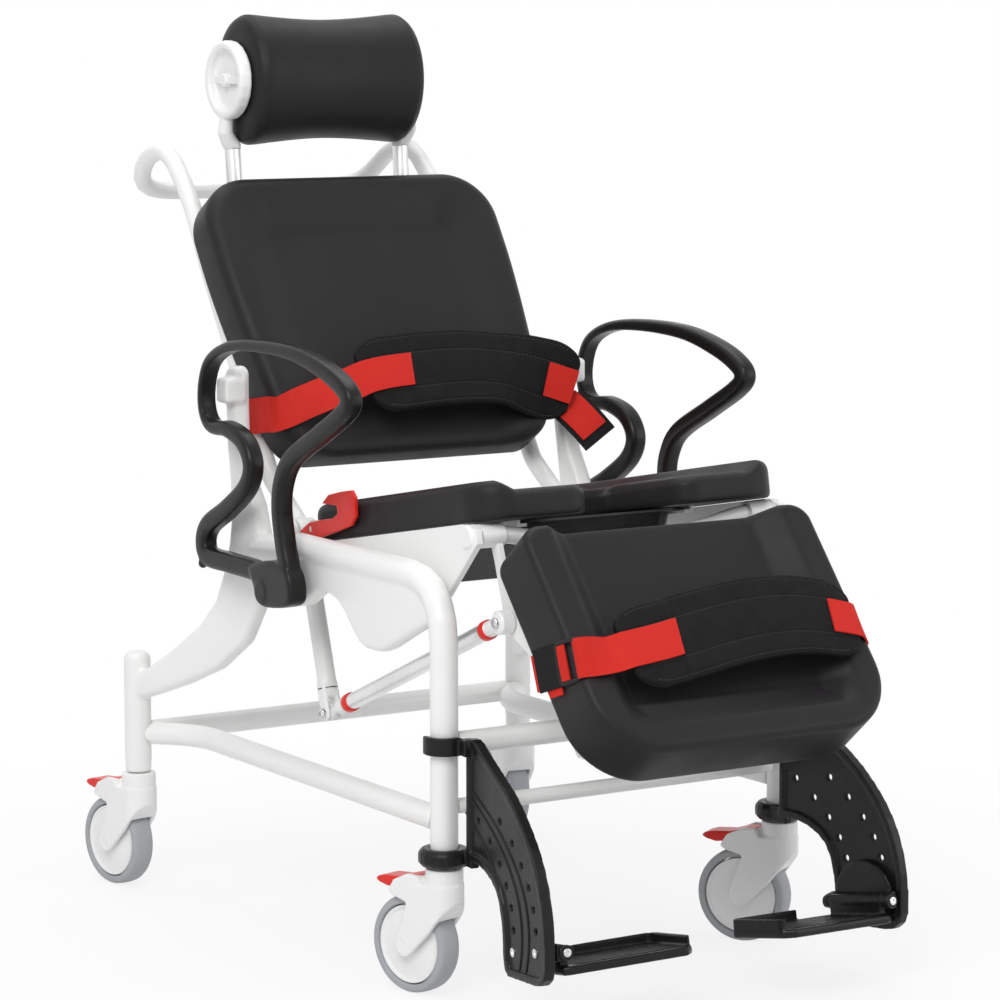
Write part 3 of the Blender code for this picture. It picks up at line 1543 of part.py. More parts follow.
def foot_bracket():
    """Half-round flange on the arm's inner face with two lugs and the hinge pin."""
    face = FOOT_ARM_X[0] - FOOT_HINGE_X - GAP
    middle = FOOT_HINGE_LENGTH / 2
    flange_outline = [(0.006, -0.011), (FOOT_HINGE_LENGTH - 0.006, -0.011)]
    for k in range(11):
        angle = math.pi * k / 10
        flange_outline.append((middle + (middle - 0.006) * math.cos(angle), 0.005 + 0.046 * math.sin(angle)))
    bracket = prism(flange_outline, face - 0.005, face, "x", 0.001)
    lug_outline = [
        (face - 0.003, -0.010),
        (face - 0.003, 0.012),
        (0.0, FOOT_BARREL_RADIUS),
        (-0.0070, 0.0065),
        (-FOOT_BARREL_RADIUS, 0.0),
        (-0.0070, -0.0065),
        (0.0, -FOOT_BARREL_RADIUS),
    ]
    for start in (0.0, FOOT_HINGE_LENGTH - FOOT_LUG):
        bracket = union(bracket, prism(lug_outline, start, start + FOOT_LUG, "y"))
    pin_outline = disc_outline((0.0, 0.0), FOOT_PIN_RADIUS, FOOT_PIN_SIDES)
    pin = prism(pin_outline, 0.002, FOOT_HINGE_LENGTH - 0.002, "y")
    return foot_hinged(union(bracket, pin))


def footplate():
    """Folding plate with a barrel on the hinge pin, a rim at its inner end and a heel lip."""
    inner = -FOOTPLATE_REACH
    depth = FOOTPLATE_DEPTH
    low = -FOOTPLATE_DROP
    top = low + FOOTPLATE_THICK
    wall = 0.0065
    outline = [
        (0.004, 0.004),
        (0.004, depth - 0.008),
        (-0.004, depth),
        (inner + 0.012, depth),
        (inner, depth - 0.012),
        (inner, 0.014),
        (inner + 0.012, 0.0),
        (-0.004, 0.0),
    ]
    plate = prism(outline, low, top, "z", 0.002)
    end_rim = [
        (inner + 0.0006, 0.020),
        (inner + 0.0006, depth - 0.0122),
        (inner + 0.0122, depth - 0.0006),
        (inner + 0.0122, depth - wall),
        (inner + wall, depth - 0.0122),
        (inner + wall, 0.012),
        (inner + 0.003, 0.012),
    ]
    heel = box((inner + 0.0120, -0.060), (depth - wall, depth - 0.0006), (low + 0.004, top + FOOTPLATE_RIM))
    plate = union(plate, prism(end_rim, low + 0.004, top + FOOTPLATE_RIM, "z"), heel)
    plate = moved(plate, Matrix.Rotation(FOOTPLATE_RISE, 4, "Y"))
    barrel_y = (FOOT_LUG + RUNNING_GAP, FOOT_HINGE_LENGTH - FOOT_LUG - RUNNING_GAP)
    barrel = prism(disc_outline((0.0, 0.0), FOOT_BARREL_RADIUS, 14), *barrel_y, "y")
    web = box((-0.0085, 0.0032), (barrel_y[0] + 0.002, barrel_y[1] - 0.002), (top - 0.004, -0.003))
    plate = union(plate, web, barrel)
    bore = bore_radius(FOOT_PIN_RADIUS, FOOT_PIN_SIDES)
    hole = prism(disc_outline((0.0, 0.0), bore, FOOT_PIN_SIDES), -0.02, FOOT_HINGE_LENGTH + 0.02, "y")
    return foot_hinged(cut(plate, hole))


def foot_hinge_point():
    """Front end of the left footplate's hinge pin."""
    about = Matrix.Translation((LEG_X, LEG_Y, 0))
    turn = about @ Matrix.Rotation(FOOT_TOE_OUT, 4, "Z") @ about.inverted()
    return turn @ Vector((FOOT_HINGE_X, *FOOT_HINGE_FRONT))


def build_footrests(black):
    leg_axis = (LEG_X, LEG_Y, FOOT_RING_Z[0])
    hinge = tuple(foot_hinge_point())
    add_pair("foot_arm", foot_arm(), black, leg_axis)
    add_pair("foot_bracket", foot_bracket(), black, hinge)
    add_pair("footplate", footplate(), black, hinge)


def main():
    global ROOT
    for item in list(bpy.data.objects):
        bpy.data.objects.remove(item)
    ROOT = bpy.data.objects.new("chair", None)
    ROOT.location = (0, DATUM_TO_ORIGIN_Y, 0)
    bpy.context.scene.collection.objects.link(ROOT)
    white = material("white_frame", (0.87, 0.87, 0.85), 0.35)
    black = material("black_plastic", (0.02, 0.02, 0.021), 0.45)
    soft = material("black_foam", (0.024, 0.023, 0.026), 0.5)
    red = material("red_plastic", (0.80, 0.045, 0.03), 0.4)
    grey = material("grey_rubber", (0.30, 0.31, 0.33), 0.6)
    silver = material("aluminium", (0.75, 0.75, 0.76), 0.3, 1.0)
    build_base(white)
    build_castors(white, grey, red)
    build_seat(white, soft, red)
    build_back(white, soft, silver)
    build_armrests(black)
    build_calf(white, soft, silver)
    build_footrests(black)


main()
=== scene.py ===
"""Looks of the tilt shower commode chair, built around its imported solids."""
import bisect
import json
import math

import bmesh
import bpy
from mathutils import Euler, Matrix, Vector


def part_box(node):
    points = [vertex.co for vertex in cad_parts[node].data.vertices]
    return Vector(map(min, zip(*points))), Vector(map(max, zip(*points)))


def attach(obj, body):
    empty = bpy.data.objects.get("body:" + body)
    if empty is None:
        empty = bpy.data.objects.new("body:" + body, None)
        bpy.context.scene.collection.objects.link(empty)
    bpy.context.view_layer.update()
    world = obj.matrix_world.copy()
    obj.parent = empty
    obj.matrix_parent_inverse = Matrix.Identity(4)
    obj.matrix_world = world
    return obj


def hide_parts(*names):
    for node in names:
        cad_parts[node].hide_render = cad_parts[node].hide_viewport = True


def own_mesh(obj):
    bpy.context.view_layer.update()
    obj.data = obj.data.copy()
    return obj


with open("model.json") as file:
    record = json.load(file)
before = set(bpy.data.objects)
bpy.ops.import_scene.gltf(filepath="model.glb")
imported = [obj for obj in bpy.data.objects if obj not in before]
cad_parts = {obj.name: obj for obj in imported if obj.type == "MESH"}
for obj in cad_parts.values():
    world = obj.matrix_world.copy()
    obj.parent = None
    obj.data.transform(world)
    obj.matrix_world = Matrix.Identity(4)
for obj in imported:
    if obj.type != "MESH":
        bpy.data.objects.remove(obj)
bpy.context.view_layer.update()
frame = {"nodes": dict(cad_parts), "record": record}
NODES = frame["nodes"]

# Sizes and places in metres, with the origin under the chair's middle; most repeat the part's source
SHIFT_Y = -0.112
BACK_CENTRE = (0.380, 0.800)
BACK_LEAN = math.radians(32.5)
BACK_HALF_WIDTH = 0.233
BACK_HALF_HEIGHT = 0.212
BACK_TAPER = 0.018
BACK_BOLSTER = 0.038
BACK_THICK = 0.068
CALF_CENTRE = (-0.396, 0.459)
CALF_LEAN = math.radians(40.0)
CALF_HALF_WIDTH = 0.215
CALF_HALF_HEIGHT = 0.170
CALF_TOP = 0.155
CALF_BOLSTER = 0.040
CALF_THICK = 0.085
SEAT_TILT = math.radians(10.4)
SEAT_TOP_Z = 0.604
SEAT_THICK = 0.050
SEAT_HALF_WIDTH = 0.228
SEAT_FRONT = -0.266
SEAT_REAR = 0.192
SEAT_MOUTH_HALF = 0.067
SEAT_MOUTH_ROUND = 0.029
SEAT_HOLE_HALF = 0.102
SEAT_HOLE_MIDDLE = -0.005
SEAT_BOLSTER = 0.030
SEAT_SLOPE = 0.024
CLIP_LEVEL = -0.012
HEAD_CENTRE = (0.534, 1.125)
HEAD_HALF_LENGTH = 0.1365
HEAD_HALF_DEPTH = 0.074
HEAD_HALF_HEIGHT = 0.091
WEB_HALF_WIDTH = 0.0245
WEB_HALF_THICK = 0.0011
PAD_END_ROUND = 0.045
PAD_RIM = 0.005
PAD_HALF_WIDTH = 0.057
PAD_THICK = 0.0095
STITCH_DEPTH = 0.0011
STITCH_HALF_WIDTH = 0.0013
STITCH_BORDER = 0.0062
STITCH_ROW = 0.026
ARM_X = 0.303
ARM_HALF_WIDTH = 0.0125
ARM_HALF_DEPTH = 0.0135
ARM_BLOCK_X = (0.2892, 0.3170)
ARM_PIVOT = (0.142, 0.468)
ROD_X = 0.2105
ROD_RADIUS = 0.0105
ROD_REAR_PIVOT = (0.1425, 0.298)
ROD_FRONT_PIVOT = (-0.283, 0.478)
ROD_REAR_FITTING = 0.048
ROD_FRONT_FITTING = 0.030
BACK_PIVOT = (0.215, 0.532)
BACK_TUBE_X = 0.210
BACK_TUBE_RADIUS = 0.013
KNEE_PIVOT = (-0.240, 0.580)
KNEE_TUBE_RADIUS = 0.011
WHEEL_RADIUS = 0.0625
HUB_RADIUS = 0.0515
TYRE_HALF_WIDTH = 0.016
FORK_HALF_WIDTH = 0.0245
LEG_X = 0.258
LEG_Y = -0.223
FOOT_TOE_OUT = math.radians(7.0)
FOOT_PITCH = math.radians(10.6)
FOOTPLATE_RISE = math.radians(2.4)
FOOT_HINGE_OFFSET = -0.045
FOOT_HINGE_HEIGHT = 0.1105
FOOT_WEB_OFFSET = -0.020
FOOTPLATE_TOP = -0.017
FOOT_ROWS = (
    ((0.0563, 0.2345), (0.1686, 0.1768), (0.157, 0.092)),
    ((0.1185, 0.2455), (0.2312, 0.1867), (0.219, 0.105)),
)

# Sizes of the looks alone, in metres, with their counts and shares
SHARP_EDGE = math.radians(42)
STEEP_EDGE = math.radians(34)
WELD_DISTANCE = 0.00002
EDGE_ROUND = 0.0009
EDGE_ANGLE = math.radians(36)
OUTLINE_STEP = 0.006
FACE_STEPS = 44
BACK_CORNERS = (0.075, 0.055)
BACK_RIMS = (0.020, 0.010)
BACK_TAPER_TOP = 0.100
BACK_SUNK = 0.022
BACK_SLOPE = 0.060
BACK_SUNK_TOP = (0.120, BACK_HALF_HEIGHT - 0.010)
CALF_CORNERS = (0.028, 0.085)
CALF_RIMS = (0.011, 0.010)
CALF_SUNK = 0.030
CALF_SLOPE = 0.038
CALF_SUNK_FOOT = (-0.138, -0.092)
SEAT_SUNK = 0.013
SEAT_SUNK_REAR = (0.100, 0.025)
SEAT_SUNK_HEIGHTS = (-0.034, -0.004)
SEAT_FRONT_ROUND = 0.050
SEAT_REAR_ROUND = 0.055
SEAT_HOLE_HALF_LENGTH = 0.105
SEAT_HOLE_TURN = 131
SEAT_NECK = ((0.0695, -0.098), (SEAT_MOUTH_HALF, -0.125))
SEAT_VOXEL = 0.0025
CLIP_FLATTEN = 0.65
ROUTE_STEP = 0.002
WEB_STEP = 0.004
WEB_COLUMNS = 9
WEB_SLANT_RUN = 0.045
WEB_LIFT = 0.0022
WEB_ON_PAD = (-0.022, 0.006)
WEB_OFF_PAD = (-0.006, 0.020)
PAD_STEP = 0.005
PAD_END_SHARE = 0.52
PAD_RIM_SHARE = 0.2
PAD_SWELL = 0.0010
PAD_SWELL_BORDER = 0.02
STITCH_ROW_BORDER = 0.009
STITCH_LENGTH = 0.0033
STITCH_PITCH = 0.0052
STITCH_ENDS = (0.022, 0.025)
STITCH_HALF = (0.00045, 0.0003)
STITCH_LIFTS = (0.0001, 0.0006, 0.0006, 0.0001)
TAIL_START = (0.2310, 0.2560, 0.6800)
TAIL_END = (0.2640, 0.2120, 0.6280)
TAIL_LEAN = (0.62, 0.10, 0.78)
TAIL_SAG = 0.004
TAIL_TAPE = (0.014, 0.0215)
TAIL_STRIP = (0.004, 0.0275)
TAIL_STRIP_FACES = (-0.0014, -0.0044)
RING_ROUND = 0.14
RING_SHARES = (0.88, 0.92)
RING_LIFT = 0.0012
RING_WIRE = (0.0022, 0.0030)
ARM_ROUND = 0.0078
ARM_BALL = 0.0070
ARM_BALL_PLACE = (0.006, 0.316, 0.484)
ARM_BLOCK_RIM = 0.003
ARM_VOXEL = 0.0017
ROD_CLIP_HALF = 0.0062
ROD_CLIP_RIM = 0.0022
ROD_CLIP_PLACES = (0.008, 0.007)
ROD_FRONT_FACE = 0.0086
ROD_REAR_FACE = 0.0120
LEVER_SEAM = 0.0330
FOOT_HINGE_REACH = 0.250
FOOT_SCREW = (0.0058, 0.0018)
FOOT_HINGE_CAP = ((0.0095, 0.0), (0.0095, 0.0030), (0.0085, 0.0040))
FOOT_HINGE_FACE = 0.0038
FOOT_HINGE_SCREW = (0.0052, 0.0022)
ROD_FRONT_SCREW = (0.0066, 0.0045)
ROD_REAR_SCREW = (0.0072, 0.0045)
TREAD_COUNT = 10
TREAD_START = 0.012
TREAD_PITCH = 0.0095
TREAD_RISE = 0.0011
TREAD_END_RISE = 0.0002
TREAD_ENDS = ((0.015, 0.017), (0.158, 0.160))

# Camera of the photograph
CAMERA_PLACE = (-2.6088, -4.2021, 1.2183)
CAMERA_TURN = math.radians(-32.17)
CAMERA_DIP = math.radians(7.473)
CAMERA_LENS = 134.06
CAMERA_SHIFT_Y = 0.001


# Shape helpers

class Plane:
    """A tilted plane in the chair: across is X, up lies in the plane and front stands out of it."""

    def __init__(self, centre, lean):
        self.origin = Vector((0, centre[0] + SHIFT_Y, centre[1]))
        self.up = Vector((0, math.sin(lean), math.cos(lean)))
        self.front = Vector((0, -math.cos(lean), math.sin(lean)))

    def at(self, across, up, front):
        return self.origin + Vector((across, 0, 0)) + self.up * up + self.front * front


BACK = Plane(BACK_CENTRE, BACK_LEAN)
CALF = Plane(CALF_CENTRE, CALF_LEAN)
SEAT = Plane((0.0, SEAT_TOP_Z), math.radians(90) + SEAT_TILT)


def soft_step(value, start, end):
    """Goes smoothly from 0 at start to 1 at end."""
    t = min(1.0, max(0.0, (value - start) / (end - start)))
    return t * t * (3 - 2 * t)


def ramp(value, start, end):
    """Goes from 0 at start to 1 at end, nearly straight, so that a ridge stays crisp."""
    t = min(1.0, max(0.0, (value - start) / (end - start)))
    return 0.75 * t + 0.25 * soft_step(value, start, end)


def smooth_path(points, per_span, closed=False):
    """Points along a smooth curve that passes through the given points."""
    points = [Vector(p) for p in points]
    count = len(points)
    last = count - 1
    path = []
    for i in range(count if closed else last):
        if closed:
            p0, p1, p2, p3 = (points[(i + k) % count] for k in (-1, 0, 1, 2))
        else:
            p0, p1, p2, p3 = (points[min(max(i + k, 0), last)] for k in (-1, 0, 1, 2))
        for k in range(per_span):
            t = k / per_span
            part_a = 2 * p1 + (p2 - p0) * t
            part_b = (2 * p0 - 5 * p1 + 4 * p2 - p3) * t * t
            part_c = (3 * p1 - p0 - 3 * p2 + p3) * t * t * t
            path.append((part_a + part_b + part_c) / 2)
    if not closed:
        path.append(points[-1])
    return path


def new_piece(name, bm, look, body):
    """Make a named piece from a bmesh, shade it smooth and let it ride on a body."""
    bmesh.ops.recalc_face_normals(bm, faces=bm.faces)
    mesh = bpy.data.meshes.new(name)
    bm.to_mesh(mesh)
    bm.free()
    for polygon in mesh.polygons:
        polygon.use_smooth = True
    mesh.set_sharp_from_angle(angle=SHARP_EDGE)
    mesh.materials.append(LOOKS[look])
    piece = bpy.data.objects.new(name, mesh)
    bpy.context.scene.collection.objects.link(piece)
    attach(piece, body)
    return piece


def skin_rings(bm, rings, closed=False, caps=True):
    """Join rings of points, each with the same count, by quads."""
    loops = [[bm.verts.new(point) for point in ring] for ring in rings]
    count = len(rings[0])
    pairs = list(zip(loops, loops[1:]))
    if closed:
        pairs.append((loops[-1], loops[0]))
    for low, high in pairs:
        for i in range(count):
            j = (i + 1) % count
            bm.faces.new((low[i], low[j], high[j], high[i]))
    if caps and not closed:
        bm.faces.new(loops[0])
        bm.faces.new(loops[-1])
    return loops


def inset(outline, distance):
    """Move a counter-clockwise outline inwards by a distance."""
    count = len(outline)
    moved = []
    for i in range(count):
        here = Vector(outline[i])
        edge_in = (here - Vector(outline[i - 1])).normalized()
        edge_out = (Vector(outline[(i + 1) % count]) - here).normalized()
        middle = Vector((-edge_in.y - edge_out.y, edge_in.x + edge_out.x))
        scale = max(0.35, middle.length_squared / 2)
        moved.append(tuple(here + middle * distance / scale))
    return moved


def spaced(outline, step):
    """The outline again with points at an even, close spacing."""
    result = []
    for here, after in zip(outline, outline[1:] + outline[:1]):
        pieces = max(1, round((Vector(after) - Vector(here)).length / step))
        for k in range(pieces):
            t = k / pieces
            result.append((here[0] + (after[0] - here[0]) * t, here[1] + (after[1] - here[1]) * t))
    return result


def arc(middle, radius, start, turn, steps):
    """Points on an arc that starts at an angle in degrees and goes round by a turn."""
    points = []
    for k in range(steps + 1):
        angle = math.radians(start + turn * k / steps)
        points.append((middle[0] + radius * math.cos(angle), middle[1] + radius * math.sin(angle)))
    return points


def circle(steps, half_p, half_q):
    """Points round a circle, or an ellipse where the two half sizes differ."""
    angles = [math.tau * k / steps for k in range(steps)]
    return [(half_p * math.cos(angle), half_q * math.sin(angle)) for angle in angles]


def rounded_outline(half_width, half_height, top_radius, bottom_radius, steps):
    """Outline of a pad with its own corner radii at the top and the bottom, as (across, up)."""
    points = []
    for sign_p, sign_q, start in ((1, 1, 0), (-1, 1, 90), (-1, -1, 180), (1, -1, 270)):
        radius = top_radius if sign_q > 0 else bottom_radius
        middle = (sign_p * (half_width - radius), sign_q * (half_height - radius))
        points += arc(middle, radius, start, 90, steps)
    return points


def swept(bm, path, section, side, closed=False, inner=None):
    """Carry a section of (p, q) pairs along a path; side is the section's first axis, and inner gives
    for each point how much of the section's positive q is left."""
    count = len(path)
    side = Vector(side)
    rings = []
    for i, point in enumerate(path):
        before = path[i - 1] if (i > 0 or closed) else point
        after = path[(i + 1) % count] if (i < count - 1 or closed) else point
        forward = (after - before).normalized()
        first = (side - forward * side.dot(forward)).normalized()
        second = forward.cross(first)
        left = inner[i] if inner else 1.0
        rings.append([point + first * p + second * q * (left if q > 0 else 1.0) for p, q in section])
    skin_rings(bm, rings, closed)


def facing(place, direction):
    """A frame at a place whose Z axis points along a direction."""
    turn = Vector(direction).to_track_quat("Z", "Y").to_matrix().to_4x4()
    return Matrix.Translation(Vector(place)) @ turn


def turned(bm, profile, matrix, sides, closed=False):
    """Turn a profile of (radius, height) about the frame's Z axis; a closed profile makes a ring."""
    rings = []
    for radius, height in profile:
        rings.append([matrix @ Vector((p, q, height)) for p, q in circle(sides, radius, radius)])
    skin_rings(bm, rings, closed)


def mirrored(side):
    """A turned profile from the half that lies below its middle."""
    return side + [(radius, -height) for radius, height in reversed(side)]


def block_along_x(bm, outline, low, high, rim):
    """Extrude a counter-clockwise outline of (y, z) along X with softened rims."""
    face = inset(outline, rim)
    stations = ((low, face), (low + rim, outline), (high - rim, outline), (high, face))
    skin_rings(bm, [[(x, y, z) for y, z in ring] for x, ring in stations])


def remeshed(piece, voxel):
    """Even out a piece's points, and give the modifier that does it."""
    even = piece.modifiers.new("even", "REMESH")
    even.mode = "VOXEL"
    even.voxel_size = voxel
    return even


def melt(piece, voxel, rounds):
    """Join a piece's overlapping shells into one skin with soft inner corners."""
    remeshed(piece, voxel).use_smooth_shade = True
    relax = piece.modifiers.new("relax", "SMOOTH")
    relax.factor = 0.5
    relax.iterations = rounds


# Materials

def feed(tree, node, inputs):
    """Set a node's inputs to values, or link those that are given another node's output."""
    for socket, value in inputs.items():
        if isinstance(value, bpy.types.NodeSocket):
            tree.links.new(value, node.inputs[socket])
        else:
            node.inputs[socket].default_value = value


def add_node(tree, kind, inputs):
    """A new node of a kind, with its inputs fed."""
    node = tree.nodes.new(kind)
    feed(tree, node, inputs)
    return node


def join(tree, operation, first, second):
    """The result of a math operation on two values."""
    node = add_node(tree, "ShaderNodeMath", {0: first, 1: second})
    node.operation = operation
    return node.outputs["Value"]


def tinted(colour, factor):
    return tuple(min(1.0, c * factor) for c in colour)


class Looks:
    """A principled material with helpers that hang procedural detail on its sockets."""

    def __init__(self, name, roughness, metallic=0.0, specular=0.5):
        self.material = bpy.data.materials.new(name)
        self.material.use_nodes = True
        self.tree = self.material.node_tree
        self.shader = self.tree.nodes["Principled BSDF"]
        self.set({"Roughness": roughness, "Metallic": metallic, "Specular IOR Level": specular})
        self.place = self.tree.nodes.new("ShaderNodeTexCoord").outputs

    def set(self, inputs):
        feed(self.tree, self.shader, inputs)

    def noise(self, scale, detail=3.0, stretch=None):
        source = self.place["Object"]
        if stretch:
            mapping = add_node(self.tree, "ShaderNodeMapping", {"Vector": source, "Scale": stretch})
            source = mapping.outputs["Vector"]
        inputs = {"Vector": source, "Scale": scale, "Detail": detail}
        return add_node(self.tree, "ShaderNodeTexNoise", inputs).outputs["Fac"]

    def cells(self, scale):
        inputs = {"Vector": self.place["Object"], "Scale": scale}
        return add_node(self.tree, "ShaderNodeTexVoronoi", inputs).outputs["Distance"]

    def waves(self, scale, direction):
        node = add_node(self.tree, "ShaderNodeTexWave", {"Vector": self.place["UV"], "Scale": scale})
        node.bands_direction = direction
        return node.outputs["Fac"]

    def colours(self, source, dark, light, low=0.3, high=0.7):
        node = add_node(self.tree, "ShaderNodeValToRGB", {"Fac": source})
        for element, place, colour in zip(node.color_ramp.elements, (low, high), (dark, light)):
            element.position = place
            element.color = (*colour, 1)
        self.set({"Base Color": node.outputs["Color"]})

    def rough(self, source, low, high):
        inputs = {"Value": source, "From Min": 0.25, "From Max": 0.75, "To Min": low, "To Max": high}
        self.set({"Roughness": add_node(self.tree, "ShaderNodeMapRange", inputs).outputs["Result"]})

    def bump(self, source, height, strength=1.0):
        inputs = {"Height": source, "Distance": height, "Strength": strength}
        self.set({"Normal": add_node(self.tree, "ShaderNodeBump", inputs).outputs["Normal"]})


def grained(name, colour, roughness, grain, height, spread, change, specular):
    """A smooth moulded or painted surface with a fine grain and slightly uneven gloss."""
    looks = Looks(name, roughness, 0.0, specular)
    looks.colours(looks.noise(7.0, 4.0), tinted(colour, 1 - change), tinted(colour, 1 + change))
    looks.rough(looks.noise(38.0, 5.0), roughness - spread, roughness + spread)
    looks.bump(looks.noise(grain, 2.0), height)
    return looks


def woven(name, roughness, dark, light, threads, full, gloss, relief):
    """Woven cloth: ribs across the run and yarns along it, by the piece's own map in metres, with painted
    shade where the weave lies low.
    """
    looks = Looks(name, roughness, 0.0, 0.15)
    weave = join(looks.tree, "MULTIPLY", looks.waves(threads[0], "X"), looks.waves(threads[1], "Y"))
    # The colour follows the weave's height: its hollows get the dark colour as painted shade, its tops the
    # lighter one.
    looks.colours(weave, dark, light, 0.05, full)
    looks.rough(looks.noise(gloss[0]), gloss[1], gloss[2])
    looks.bump(weave, *relief)
    return looks


# Grained finishes: name, colour, roughness, scale and height of the grain, how far the roughness
# and the colour vary, and specular level
GRAINED = {
    "white_paint": ("white_powder_coat", (0.89, 0.89, 0.873), 0.36, 420.0, 0.00006, 0.06, 0.015, 0.5),
    "white_plastic": ("white_moulded_plastic", (0.89, 0.89, 0.878), 0.40, 900.0, 0.00003, 0.06, 0.02, 0.5),
    "black_plastic": (
        "black_moulded_plastic", (0.0125, 0.0118, 0.0112), 0.30, 1500.0, 0.00003, 0.06, 0.10, 0.20,
    ),
    "pan_plastic": ("black_pan_plastic", (0.008, 0.008, 0.008), 0.30, 700.0, 0.00004, 0.06, 0.10, 0.3),
    "red_plastic": ("red_moulded_plastic", (0.74, 0.022, 0.014), 0.30, 1100.0, 0.00003, 0.06, 0.05, 0.35),
    "grey_rubber": ("grey_tread", (0.395, 0.405, 0.425), 0.55, 800.0, 0.00006, 0.08, 0.05, 0.5),
    "thread": ("black_thread", (0.012, 0.012, 0.013), 0.6, 2500.0, 0.0001, 0.05, 0.2, 0.5),
}
WEBS = {
    "red_web": ("red_webbing", (0.90, 0.036, 0.024)),
    "black_web": ("black_webbing", (0.012, 0.012, 0.0125)),
}


def make_materials():
    made = {look: grained(*finish) for look, finish in GRAINED.items()}
    made["white_paint"].set({"Coat Weight": 0.15, "Coat Roughness": 0.18})
    for look, (name, colour) in WEBS.items():
        # Webbing colours: the darker one is painted shade in the weave's hollows, the lighter one its yarn
        # tops.
        weave_tones_with_painted_shade = (tinted(colour, 0.62), tinted(colour, 1.08))
        made[look] = woven(name, 0.62, *weave_tones_with_painted_shade, (190.0, 218.5), 0.75, (60.0, 0.55, 0.70), (0.0006, 0.8))
    # Padded cloth colours: the darker one is painted shade in the weave's hollows, the lighter one its yarn
    # tops.
    weave_tones_with_painted_shade = ((0.0035, 0.0035, 0.0038), (0.0135, 0.0130, 0.0136))
    made["mesh_cloth"] = woven(
        "black_padded_cloth", 0.75, *weave_tones_with_painted_shade, (150.0, 150.0), 0.8, (45.0, 0.68, 0.82), (0.0003, 0.7),
    )
    foam = made["black_foam"] = Looks("black_skin_foam", 0.50, 0.0, 0.13)
    foam.colours(foam.noise(5.0, 4.0), (0.0190, 0.0174, 0.0188), (0.0235, 0.0215, 0.0232))
    foam.rough(foam.noise(26.0, 5.0), 0.36, 0.48)
    foam.bump(join(foam.tree, "ADD", foam.cells(950.0), foam.noise(380.0)), 0.00010, 0.6)
    silver = made["aluminium"] = Looks("satin_aluminium", 0.30, 1.0)
    silver.colours(silver.noise(9.0), (0.70, 0.70, 0.71), (0.80, 0.80, 0.81))
    brushed = silver.noise(90.0, 4.0, (14.0, 14.0, 0.6))
    silver.rough(brushed, 0.24, 0.38)
    silver.bump(brushed, 0.00003)
    steel = made["steel"] = Looks("bright_steel", 0.25, 1.0)
    steel.colours(steel.noise(60.0), (0.60, 0.60, 0.61), (0.72, 0.72, 0.73))
    steel.rough(steel.noise(500.0), 0.20, 0.34)
    steel.bump(steel.noise(900.0), 0.00003)
    return {look: looks.material for look, looks in made.items()}


LOOKS = make_materials()


# Frame nodes: welded, shaded smooth over shallow edges and given a finished material

def smooth_group():
    """Node group that shades a mesh smooth and keeps only its steep edges sharp."""
    group = bpy.data.node_groups.new("smooth_shallow_edges", "GeometryNodeTree")
    for way in ("INPUT", "OUTPUT"):
        group.interface.new_socket("Geometry", in_out=way, socket_type="NodeSocketGeometry")
    start = group.nodes.new("NodeGroupInput")
    angle = group.nodes.new("GeometryNodeInputMeshEdgeAngle").outputs["Unsigned Angle"]
    steep = add_node(group, "FunctionNodeCompare", {0: angle, 1: STEEP_EDGE})
    steep.operation = "GREATER_THAN"
    faces = add_node(group, "GeometryNodeSetShadeSmooth", {"Geometry": start.outputs[0]})
    faces.domain = "FACE"
    edges = add_node(group, "GeometryNodeSetShadeSmooth", {
        "Geometry": faces.outputs["Geometry"],
        "Selection": steep.outputs["Result"],
        "Shade Smooth": False,
    })
    edges.domain = "EDGE"
    add_node(group, "NodeGroupOutput", {0: edges.outputs["Geometry"]})
    return group


SMOOTH = smooth_group()
BEVELLED = ("castor_fork", "seat_clip", "brake_pedal", "foot_arm", "foot_bracket", "footplate", "seat_side",
            "calf_frame", "head_knob", "castor_hub")

# Nodes whose bends and welds are evened out: voxel size and rounds of smoothing
EVENED = {
    "side_frame": (0.0026, 9),
    "low_tube": (0.0026, 9),
    "back_frame": (0.0024, 6),
    "head_bracket": (0.0016, 5),
    "rear_cross_tube": (0.0026, 6),
    "front_cross_tube": (0.0026, 6),
    "front_low_cross_tube": (0.0022, 6),
    "foot_arm": (0.0013, 8),
    "foot_bracket": (0.0012, 6),
    "footplate": (0.0013, 7),
    "castor_fork": (0.0014, 6),
    "brake_pedal": (0.0010, 6),
}


def dress_node(name, node, looks):
    """Weld and smooth a frame node without touching its own points."""
    mesh = node.data
    if "custom_normal" in mesh.attributes:
        mesh.attributes.remove(mesh.attributes["custom_normal"])
    weld = node.modifiers.new("weld", "WELD")
    weld.merge_threshold = WELD_DISTANCE
    if name.startswith(BEVELLED):
        bevel = node.modifiers.new("edges", "BEVEL")
        bevel.width = EDGE_ROUND
        bevel.segments = 2
        bevel.limit_method = "ANGLE"
        bevel.angle_limit = EDGE_ANGLE
        bevel.use_clamp_overlap = True
    settings = [size for start, size in EVENED.items() if name.startswith(start)]
    if settings:
        melt(node, *settings[0])
    else:
        smooth = node.modifiers.new("smooth", "NODES")
        smooth.node_group = SMOOTH
        flatten = node.modifiers.new("flatten", "WEIGHTED_NORMAL")
        flatten.keep_sharp = True
        flatten.weight = 80
    mesh.materials.clear()
    mesh.materials.append(looks)


SLOTS = {row["node"]: row["material_slot"] for row in frame["record"]["subparts"]}
for node_name, node_object in NODES.items():
    slot_name = "white_plastic" if node_name.startswith("calf_rod") else SLOTS[node_name]
    dress_node(node_name, node_object, LOOKS["mesh_cloth" if slot_name == "webbing" else slot_name])


# Moulded pads

def back_half_width(up):
    return BACK_HALF_WIDTH - BACK_TAPER * soft_step(-up, -BACK_TAPER_TOP, BACK_HALF_HEIGHT)


